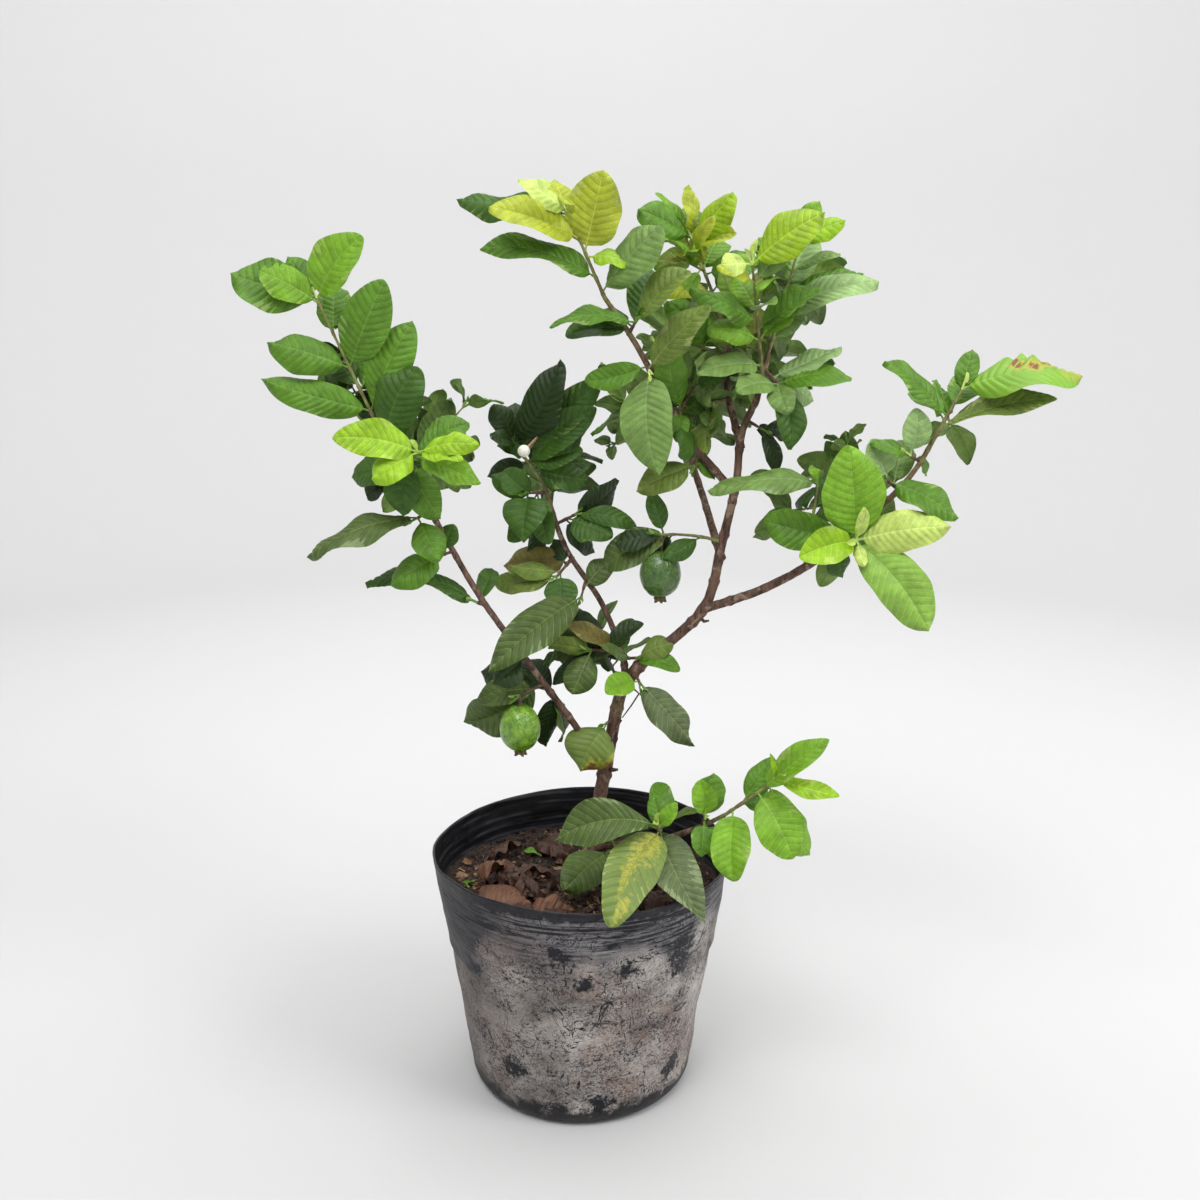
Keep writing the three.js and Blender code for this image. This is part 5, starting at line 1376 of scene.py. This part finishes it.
def wall_wear(n):
    """Where the dust is rubbed through: small specks, grainy patches, smudges and scratches."""
    share = n.ramp(n.noise(21), 0.4, 0.62, 0.15, 0.95)
    worn = n.times(n.ramp(n.noise(400, 5, 0.72), 0.5, 0.59), share)
    grain = n.ramp(n.noise(200, 4, 0.68), 0.36, 0.54)
    worn = n.most(worn, n.times(n.ramp(n.noise(24, 5, 0.62, warp=0.8), 0.6, 0.68), grain))
    for spot, reach in SMUDGES:
        smudge = n.ramp(n.ragged(n.near(spot, reach), 0.4, 110, 4, 0.65), 0.36, 0.56)
        worn = n.most(worn, n.times(smudge, n.ramp(n.noise(300, 4, 0.7), 0.33, 0.44)))
    for size, thin, turn, pull in SCRATCHES:
        place = n.stretched((1, 1, pull), turn)
        line = n.maths("ABSOLUTE", n.maths("SUBTRACT", n.noise(size, 3, 0.5, place, 1.1), 0.5))
        kept = n.ramp(n.noise(34, 2, 0.5, place), 0.5, 0.57)
        worn = n.most(worn, n.times(n.ramp(line, thin, 2.4 * thin, 1, 0), kept))
    return worn


def pot_outside():
    """Black plastic under dust, worn off in the collar, at the rim and along the foot; painted shade
    darkens the dust towards the left.
    """
    material = shader("pot_dusty_plastic", rgb("7a746e"), 0.75, Specular_IOR_Level=0.25)
    n = Nodes(material)
    z = n.along("Z")
    streaks = n.ramp(n.noise(30, 6, 0.7, n.stretched((0.55, 0.55, 8))), 0.48, 0.56)
    lines = n.most(dust_and_sheen_rings(n, RING_GAP * MM), n.times(streaks, 0.9))
    wander = n.ramp(n.noise(11), 0.3, 0.7, -0.028, 0.028)
    collar = n.ramp(n.plus(z, wander), 0.186, 0.212)
    left = n.ramp(n.ragged(n.along("X"), 0.02, 20), -0.070, -0.098)
    left = n.times(left, n.ramp(n.plus(z, n.times(wander, 0.2)), 0.146, 0.158))
    collar = n.most(collar, left)
    lines = n.times(lines, n.ramp(left, 0, 1, 0.85, 0.3))
    worn = n.most(wall_wear(n), n.times(collar, n.maths("SUBTRACT", 1.0, lines)))
    edges = n.most(n.ramp(z, 0.234, 0.247), n.ramp(z, 0.010, 0.036, 1, 0))
    worn = n.most(worn, n.times(n.ramp(n.ragged(edges, 0.4, 70, 5, 0.65), 0.35, 0.7), 0.95))
    dust = n.mix(n.times(collar, 0.6), wall_dust(n), "84868f")
    # painted shade: the dust turns darker towards the left, where less light falls
    shadowed = n.ramp(n.ragged(n.along("X"), 0.04, 14, 4), 0.0, -0.11)
    dust = n.mix(n.times(shadowed, 0.6), dust, "554c48")
    plastic = n.mix(n.ramp(n.noise(150), 0.4, 0.7), "0b0c11", "1c1e27")
    n.color(n.mix(worn, dust, plastic))
    n.roughness(n.ramp(worn, 0, 1, 0.86, 0.46))
    n.bump(n.maths("SUBTRACT", n.noise(260, 5, 0.6), n.times(worn, 0.9)), 0.4, 0.0006)
    return material


def pot_inside():
    """Black plastic with a soft gloss, and pale lines on its rings that are partly dust and partly a
    painted highlight.
    """
    material = shader("pot_black_plastic", rgb("15171b"), 0.36)
    n = Nodes(material)
    film = n.ramp(n.noise(30, 5, 0.65, n.stretched((0.6, 0.6, 7))), 0.45, 0.75)
    # painted highlight and dust: pale lines along the inner rings, as if their crests caught the light
    dust = n.most(n.times(film, 0.2), n.times(dust_and_sheen_rings(n, 2 * RING_GAP * MM), 0.7))
    n.color(n.mix(dust, "0b0c10", "4c5059"))
    n.roughness(n.ramp(n.noise(60, 4), 0.3, 0.7, 0.26, 0.5))
    n.bump(n.noise(300, 4), 0.15, 0.0005)
    return material


def add_pot():
    """The pot, from under its foot, up its dented wall, over the rim and down inside."""
    foot = np.linspace(0, math.pi / 2, 9)
    foot_radius = pot_radius(POT_FOOT_ROUND) - POT_FOOT_ROUND * (1 - np.sin(foot))
    foot_height = POT_FOOT_ROUND * (1 - np.cos(foot))
    lip = POT_WALL / 2
    rim_foot = POT_HEIGHT - lip
    wall = [*np.arange(POT_FOOT_ROUND + 2, FINE_FROM, COARSE_STEP),
            *np.arange(FINE_FROM, POT_HEIGHT - 1, FINE_STEP)]
    inner = [*np.arange(rim_foot, SOIL_TOP - 14, -FINE_STEP),
             *np.linspace(SOIL_TOP - 20, POT_FOOT_ROUND, 14)]
    outer_rings = [(radius, 0.0) for radius in UNDERSIDE_RINGS]
    outer_rings += [*zip(foot_radius, foot_height), *[(pot_radius(z), z) for z in wall]]
    rim_rings = [(pot_radius(POT_HEIGHT) - lip + lip * math.cos(a), rim_foot + lip * math.sin(a))
                 for a in np.linspace(0, math.pi, 7)[1:-1]]
    inner_rings = [(pot_radius(z) - POT_WALL, z) for z in inner]
    inner_rings += [(foot_radius[3], POT_FLOOR), (INSIDE_RING, POT_FLOOR)]
    rings = np.array(outer_rings + rim_rings + inner_rings)
    angle = round_angles(POT_AROUND)[None, :] + 0 * rings[:, :1]
    z = rings[:, 1:] + 0 * angle
    radius = rings[:, :1] + wall_shape(angle, z) * smooth(0, 20, rings[:, :1] - PLAIN_WITHIN)
    loops, sizes = closed_faces(len(rings), POT_AROUND)
    batch = Batch()
    dusty, black = batch.slot(pot_outside()), batch.slot(pot_inside())
    last_dusty = (len(outer_rings) + 1) * POT_AROUND
    slots = np.where(np.arange(len(sizes) - 2) < last_dusty, dusty, black)
    batch.add(softened(radius, angle, z).reshape(-1, 3), loops, sizes, [*slots, dusty, black])
    finished(batch.build("nursery_pot"), "pot_plastic", "pot")


# ---- soil and what lies on it ------------------------------------------------------------------------
SOIL_ROOM = POT_WALL + GAP
SOIL_SINK = 3.0                   # of the loose surface below the solid's
SOIL_PRESS = 0.35                 # of the surface's edge towards the wall
SIDE_ROOM = 2.5                   # of the soil's sides below, from the wall
TRUNK_FOOT = (10, 38)
MOUND_HEIGHT, MOUND_REACH = 2.5, 45
SOIL_BUMPS = ((2.6, 42, 11, 9), (1.3, 15, 12, 9), (0.8, 6, 13, 14))    # height, size, seed and waves
SOIL_RINGS, SOIL_SIDES = 92, 180
SIDE_HEIGHTS = (190, 150, 100, 60, POT_FOOT_ROUND + 2)
CRUMBS, STRAWS, SCRAPS = 1500, 130, 420        # how many lie there, and how far out
CRUMB_REACH, STRAW_REACH, SCRAP_REACH = 141, 137, 138
CRUMB_SEED, LITTER_SEED, DEAD_SEEDS, GREEN_SEEDS = 77, 31, 500, 560
EARTHS = {  # the darker and the lighter tone of what is dry and loose
    "crumb_dark": ("150f0c", "2c2019"), "crumb_brown": ("3f2b20", "5d4231"),
    "crumb_tan": ("75593f", "a08361"), "scrap_dark": ("33241c", "4e3a2e"),
    "scrap_brown": ("4f392d", "6d5140"), "scrap_tan": ("735740", "967655"),
    "straw": ("8d7149", "c4aa7a"), "bud_stalk": ("9a7a62", "b99b86"), "pale_bud": ("e6e2d4", "f3f0e6")}
FALLEN = (  # dead leaves on the soil: place, heading, length, width, tilt, roll, bend, fold, curl
    (-104, -24, 318, 76, 46, 8, -16, 60, 20, 0.8), (-52, -12, 205, 62, 30, 26, 60, 110, 52, 0.9),
    (-30, -52, 118, 60, 28, 18, -70, 120, 55, 1.0), (-66, -88, 12, 64, 34, 3, 14, 50, 22, 0.6),
    (-24, -92, 168, 56, 30, 5, -18, 60, 28, 0.8), (-88, 22, 290, 58, 28, 8, 30, 80, 36, 0.9),
    (-20, -20, 190, 54, 26, 22, 50, 120, 50, 1.0), (2, -76, 205, 52, 30, 4, 20, 60, 26, 0.7),
    (-108, -8, 350, 46, 26, 4, -24, 70, 30, 0.8), (-62, -56, 75, 52, 28, 10, 34, 90, 40, 0.9),
    (64, -88, 60, 58, 32, 8, -12, 80, 34, 0.7), (92, -36, 110, 54, 30, 8, 16, 70, 28, 0.6),
    (76, 50, 200, 60, 34, 6, -16, 80, 30, 0.8), (-50, 84, 310, 60, 32, 8, 14, 70, 30, 0.7),
    (-104, 42, 40, 50, 28, 6, -18, 60, 24, 0.6), (36, 104, 190, 56, 30, 6, 12, 80, 34, 0.7),
    (20, -112, 20, 48, 26, 3, 10, 60, 24, 0.6), (-40, -116, 170, 44, 24, 3, -14, 60, 26, 0.7))
DEAD_TRAITS = dict(wave=(2.5, 5.5), waves=(2.4, 4.2), twirl=(-40, 40), quilt=(1.6, 2.8))
GREEN_BITS = (  # small fresh leaves on the soil: place, heading and length
    (-43, 57, 160, 22), (-38, 60, 60, 16), (-114, -16, 120, 14), (-118, -6, 30, 10))
BUD_RADIUS = 6
BUD_STALK = ((-54, 70, 644), (-42, 52, 662), (-44, 38, 661), (-54, 30, 651))
DRY_TWIGS = (  # waypoints and thickness
    (((42, 36, 372), (36, 27, 366), (31, 24, 352), (26, 27, 332)), 1.1),
    (((52, 38, 408), (60, 33, 402), (52, 30, 390), (43, 33, 376)), 1.2),
    (((25, 42, 318), (34, 34, 318), (38, 30, 320)), 3.0),
    (((118, 29, 486), (124, 20, 482), (128, 16, 484)), 2.2))


def earth(name):
    return mottled(name, EARTHS[name][0], 0.9, EARTHS[name], (500, 4, 0.35, 0.65), (900, 5, 0.6, 0.0008))


def soil_material():
    material = shader("potting_mix", rgb("33251d"), 0.95)
    n = Nodes(material)
    tone = n.mix(n.ramp(n.noise(220, 5, 0.65), 0.35, 0.7), "0e0a07", "463429")
    bits = n.ramp(n.cells(420), 0.0, 0.22, 1, 0)
    n.color(n.mix(n.times(bits, n.ramp(n.noise(150), 0.5, 0.65)), tone, "86684b"))
    n.bump(n.noise(500, 6, 0.7), 0.9, 0.0015)
    return material


def soil_height(x, y):
    """The crumbling surface: low at the wall, with a slight mound round the trunk."""
    flat = np.stack([x, y, 0 * x], axis=-1).reshape(-1, 3)
    bumps = sum(height * ripple(flat, size, seed, waves) for height, size, seed, waves in SOIL_BUMPS)
    mound = MOUND_HEIGHT * hump(np.hypot(x - TRUNK_FOOT[0], y - TRUNK_FOOT[1]) / MOUND_REACH)
    return SOIL_TOP - SOIL_SINK + mound + bumps.reshape(x.shape)


def soil_point(x, y):
    return vec(x, y, soil_height(np.array([float(x)]), np.array([float(y)]))[0])


def on_soil(radius, heading, out):
    """A point of the surface this share of the way to a radius."""
    return soil_point(radius * out * math.cos(heading), radius * out * math.sin(heading))


def add_soil():
    """The soil's surface out to the wall, and its sides and underside a little clear of the pot."""
    angle = round_angles(SOIL_SIDES)[None, :]
    level = np.full((1, SOIL_SIDES), float(SOIL_TOP))
    edge = pot_radius(SOIL_TOP) - SOIL_ROOM
    shares = np.linspace(0.02, 1, SOIL_RINGS)[:, None]
    ring = softened(np.full((1, SOIL_SIDES), edge), angle, level)[0]
    pressed = SOIL_PRESS + wall_shape(angle, level)[0]
    ring = ring[:, :2] * (1 + pressed / edge)[:, None]
    x, y = shares * ring[None, :, 0], shares * ring[None, :, 1]
    top = np.stack([x, y, soil_height(x, y)], axis=-1)
    depths = [(z, (pot_radius(z) - SOIL_ROOM - SIDE_ROOM) / edge) for z in SIDE_HEIGHTS]
    depths.append((POT_FLOOR + GAP, (pot_radius(POT_FOOT_ROUND) - POT_FOOT_ROUND) / edge))
    below = [np.stack([ring[:, 0] * s, ring[:, 1] * s, np.full(SOIL_SIDES, float(z))], axis=-1)
             for z, s in depths]
    batch = Batch()
    batch.add(np.concatenate([top.reshape(-1, 3), *below]),
              *closed_faces(SOIL_RINGS + len(below), SOIL_SIDES, falling=True), batch.slot(soil_material()))
    finished(batch.build("soil_bed", 80), "potting_mix", "soil")


def add_crumbs():
    """Crumbs of soil, bark and grit, thickest along the wall."""
    draw = np.random.default_rng(CRUMB_SEED)
    batch = Batch()
    kinds = [batch.slot(earth(f"crumb_{tone}")) for tone in ("dark", "brown", "tan")]
    sides, rings = 7, 4
    turn = np.linspace(0.25, math.pi - 0.25, rings)[:, None]
    angle = round_angles(sides)[None, :]
    ball = np.stack([np.sin(turn) * np.cos(angle), np.sin(turn) * np.sin(angle),
                     np.cos(turn) + 0 * angle], axis=-1).reshape(-1, 3)
    loops, sizes = closed_faces(rings, sides, falling=True)
    for _ in range(CRUMBS):
        heading, out = draw.uniform(0, math.tau), draw.uniform(0.03, 1) ** 0.55 * 0.965
        size = draw.uniform(0.7, 3.2) * draw.uniform(0.5, 1.0)
        rough = 1 + 0.35 * draw.uniform(-1, 1, size=(len(ball), 1))
        shape = ball * rough * draw.uniform(0.6, 1.3, size=3)
        turn = np.linalg.qr(draw.normal(size=(3, 3)))[0]
        shape = shape @ (turn * np.sign(np.linalg.det(turn)))
        place = on_soil(CRUMB_REACH, heading, out) + vec(0, 0, size * 0.25)
        batch.add(shape * size + place, loops, sizes, kinds[draw.choice(3, p=(0.6, 0.3, 0.1))])
    finished(batch.build("soil_crumbs"), "potting_mix")


def scrap(draw, size):
    """A curled flake of dead leaf, ragged all round: its points, loops and sizes."""
    side = 5
    u, v = np.meshgrid(np.linspace(-1, 1, side), np.linspace(-1, 1, side), indexing="ij")
    shape = np.stack([u * (1 - 0.25 * v * v), v * draw.uniform(0.4, 0.9) * (1 - 0.25 * u * u),
                      draw.uniform(-0.5, 0.5) * u * u + draw.uniform(-0.4, 0.4) * v * v], axis=-1)
    shape = shape + 0.12 * draw.uniform(-1, 1, size=shape.shape)
    top = shape.reshape(-1, 3) * size
    turn, tilt = draw.uniform(0, math.tau), draw.uniform(-0.5, 0.5)
    spin = np.array([[math.cos(turn), -math.sin(turn), 0], [math.sin(turn), math.cos(turn), 0], [0, 0, 1]])
    lean = np.array([[1, 0, 0], [0, math.cos(tilt), -math.sin(tilt)], [0, math.sin(tilt), math.cos(tilt)]])
    top = top @ (spin @ lean).T
    count = side * side
    faces = grid_faces(side, side, closed=False)
    corners = np.arange(count).reshape(side, side)
    rim = [*corners[0], *corners[1:, -1], *corners[-1, -2::-1], *corners[-2:0:-1, 0]]
    edge = np.array([(a, b, b + count, a + count) for a, b in zip(rim, rim[1:] + rim[:1])])
    both = np.concatenate([faces[:, ::-1], faces + count, edge])
    return np.concatenate([top, top - vec(0, 0, BLADE_THICK)]), both.ravel(), [4] * len(both)


def add_dead_leaves(batch, draw):
    """Curled brown leaves with torn margins, at their places."""
    for number, (x, y, heading, length, width, tilt, roll, bend, fold, curl) in enumerate(FALLEN):
        level = math.cos(rad(tilt))
        way = vec(math.cos(rad(heading)) * level, math.sin(rad(heading)) * level, math.sin(rad(tilt)))
        side = turned(unit(np.cross(way, vec(0, 0, 1))), way, rad(roll))
        tone = ("dead", "rust")[draw.choice(2, p=(0.65, 0.35))]
        look = dict(drawn(draw, DEAD_TRAITS), fold=fold, curl=curl, uneven=0.1,
                    bites=((draw.uniform(0.3, 0.8), draw.choice((-1, 1)), 0.06, 0.6),
                           (draw.uniform(0.85, 1), draw.choice((-1, 1)), 0.08, 0.7)))
        root = soil_point(x, y) + vec(0, 0, 2.5)
        leaf = dict(root=root, length=length, width=width, bend=bend, look=look)
        add_leaf(batch, leaf, arched(way, side, bend), tone, DEAD_SEEDS + number)


def add_green_bits(batch):
    """Small fresh leaves, shed flat."""
    for number, (x, y, heading, length) in enumerate(GREEN_BITS):
        way = vec(math.cos(rad(heading)), math.sin(rad(heading)), 0.35)
        side = unit(np.cross(way, vec(0, 0, 1)))
        start = unit(way)
        root = soil_point(x, y) + vec(0, 0, 2)
        leaf = dict(root=root, length=length, width=0.5 * length, bend=30, look={})
        add_leaf(batch, leaf, (side, start, np.cross(side, start)), "green", GREEN_SEEDS + number)


def add_straw(batch, draw):
    """Bent straws on the side towards the front left."""
    straw = batch.slot(earth("straw"))
    for _ in range(STRAWS):
        heading, out = draw.uniform(math.pi * 0.85, math.pi * 1.75), draw.uniform(0.35, 0.97)
        turn, reach = draw.uniform(0, math.pi), draw.uniform(3, 14)
        way = vec(math.cos(turn), math.sin(turn), draw.uniform(-0.12, 0.2))
        across = vec(-way[1], way[0], 0) * draw.uniform(-0.18, 0.18)
        foot = on_soil(STRAW_REACH, heading, out) + vec(0, 0, draw.uniform(0.5, 2.5))
        line = [foot + (way * (s - 0.5) + across * math.sin(math.pi * s)) * reach
                for s in (0, 0.33, 0.67, 1)]
        batch.add(*tube(line, np.full(4, draw.uniform(0.25, 0.6)), 5), straw)


def add_litter():
    """Curled dead leaves, fresh bits, straw and flakes on the soil."""
    batch = Batch()
    draw = np.random.default_rng(LITTER_SEED)
    add_dead_leaves(batch, draw)
    add_green_bits(batch)
    add_straw(batch, draw)
    kinds = [batch.slot(earth(f"scrap_{tone}")) for tone in ("dark", "brown", "tan")]
    for _ in range(SCRAPS):
        heading, out = draw.uniform(0, math.tau), draw.uniform(0.1, 1) ** 0.6 * 0.95
        if draw.uniform() < 0.5:
            heading = draw.uniform(math.pi * 0.9, math.pi * 1.6)
        points, loops, sizes = scrap(draw, draw.uniform(2.5, 7.5))
        place = on_soil(SCRAP_REACH, heading, out) + vec(0, 0, draw.uniform(0.5, 2))
        batch.add(points + place, loops, sizes, kinds[draw.choice(3, p=(0.45, 0.4, 0.15))])
    finished(batch.build("soil_litter"), "foliage")


def add_small_growths():
    """A pale round bud on its stalk, two thin dry twigs, and stubs on the trunk and the leader."""
    batch = Batch()
    batch.add(*tube(BUD_STALK, [1.3, 1.0, 0.9, 1.1], 8), batch.slot(earth("bud_stalk")))
    turn = np.linspace(0, math.pi, 16)
    ball = [vec(*BUD_STALK[-1]) + vec(0, 0, BUD_RADIUS * math.cos(a)) for a in turn]
    batch.add(*tube(ball, BUD_RADIUS * np.sin(turn) + 0.05, 20), batch.slot(earth("pale_bud")))
    for line, thick in DRY_TWIGS:
        batch.add(*tube(line, np.linspace(thick, 0.5 * thick, len(line)), 7), batch.slot(old_bark()))
    finished(batch.build("small_growths"), "bark")


# ---- studio, in metres -------------------------------------------------------------------------------
FLOOR_RADII = (0.02, 0.6, 1.4, 2.4)
BEND_RADIUS = 1.2                 # of the turn from floor to wall
WALL_HEIGHTS = (2.0, 3.0)
WORLD_STRENGTH = 0.17
CAMERA_PLACE = (0.020, -1.150, 0.798)
CAMERA_DOWN = 14.1                # degrees below the level
CAMERA_LENS, CAMERA_SENSOR = 36.42, 36.0
LAMPS = (  # name, place, what it lights (the plant or a part of the wall), size, and power in watts
    ("key", (-0.7, -1.5, 3.0), (0, 0, 0.45), 1.3, 44), ("top", (0.3, 0.3, 3.3), (0, 0, 0.45), 2.0, 38),
    ("side", (2.2, -1.1, 2.2), (0, 0, 0.45), 1.2, 41), ("back", (0, 1.3, 2.6), (0, 3.6, 0.7), 2.0, 52),
    ("left", (-1.3, 0, 2.6), (-3.6, 0, 0.7), 2.0, 26), ("right", (1.3, 0, 2.6), (3.6, 0, 0.7), 2.0, 26),
    ("front", (0, -1.9, 2.9), (0, -3.6, 0.7), 2.0, 20))


def add_floor():
    """A pale floor that turns up into a round wall, open at the top."""
    far = FLOOR_RADII[-1]
    profile = [(radius, 0.0) for radius in FLOOR_RADII]
    profile += [(far + BEND_RADIUS * math.sin(a), BEND_RADIUS * (1 - math.cos(a)))
                for a in np.linspace(0.1, math.pi / 2, 16)]
    profile += [(far + BEND_RADIUS, z) for z in WALL_HEIGHTS]
    sides = 96
    angle = round_angles(sides)
    rings = [np.stack([r * np.cos(angle), r * np.sin(angle), np.full(sides, z)], axis=-1)
             for r, z in profile]
    loops, sizes = closed_faces(len(profile), sides, falling=True)
    batch = Batch()
    pale = batch.slot(shader("pale_floor", rgb("c8c8c8"), 0.9))
    batch.add(np.concatenate(rings) / MM, loops[:-sides], sizes[:-1], pale)
    floor = batch.build("studio_floor", 180)
    floor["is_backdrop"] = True


def add_lights():
    world = bpy.data.worlds.new("studio_light")
    world.use_nodes = True
    background = world.node_tree.nodes["Background"]
    background.inputs["Color"].default_value = (1.0, 1.0, 1.0, 1)
    background.inputs["Strength"].default_value = WORLD_STRENGTH
    bpy.context.scene.world = world
    for name, place, aim, size, power in LAMPS:
        lamp = bpy.data.lights.new(f"{name}_softbox", "AREA")
        lamp.size, lamp.energy = size, power
        box = bpy.data.objects.new(f"{name}_softbox", lamp)
        box.location = place
        box.rotation_euler = (Vector(aim) - Vector(place)).to_track_quat("-Z", "Y").to_euler()
        bpy.context.scene.collection.objects.link(box)


def add_camera():
    camera = bpy.data.cameras.new("camera")
    camera.sensor_width, camera.lens = CAMERA_SENSOR, CAMERA_LENS
    eye = bpy.data.objects.new("camera", camera)
    eye.location = CAMERA_PLACE
    eye.rotation_euler = (rad(90 - CAMERA_DOWN), 0, 0)
    bpy.context.scene.collection.objects.link(eye)
    bpy.context.scene.camera = eye
    bpy.context.scene.view_settings.view_transform = "Standard"


# ---- the whole plant ---------------------------------------------------------------------------------
LEAVES = {region: Batch() for region in REGIONS}
AILING, TWIGS, FRUIT = Batch(), Batch(), Batch()
for number, mass in enumerate(MASSES):
    tip = grow_mass(mass, LEAVES[region_of(mass)], number + 1)
    if mass in FRUIT_KINDS:
        add_fruit(FRUIT, tip, MASSES[mass][0]["hang"], FRUIT_KINDS[mass], number)
for region, batch in LEAVES.items():
    nodes = [f"foliage_{mass}" for mass in MASSES if region_of(mass) == region]
    finished(batch.build(f"leaves_{region}"), "foliage", *nodes)
finished(AILING.build("leaves_ailing"), "foliage")
finished(TWIGS.build("twigs"), "bark")
finished(FRUIT.build("guava_fruit"), "foliage")
for number, limb in enumerate(LIMBS):
    add_limb(limb, LIMB_SEEDS + 10 * number)
add_pot()
add_soil()
add_crumbs()
add_litter()
add_small_growths()
add_floor()
add_lights()
add_camera()

boxes = {"cad": CAD_BOX, "visual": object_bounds()}
{name: [list(corner) for corner in box] for name, box in boxes.items()}
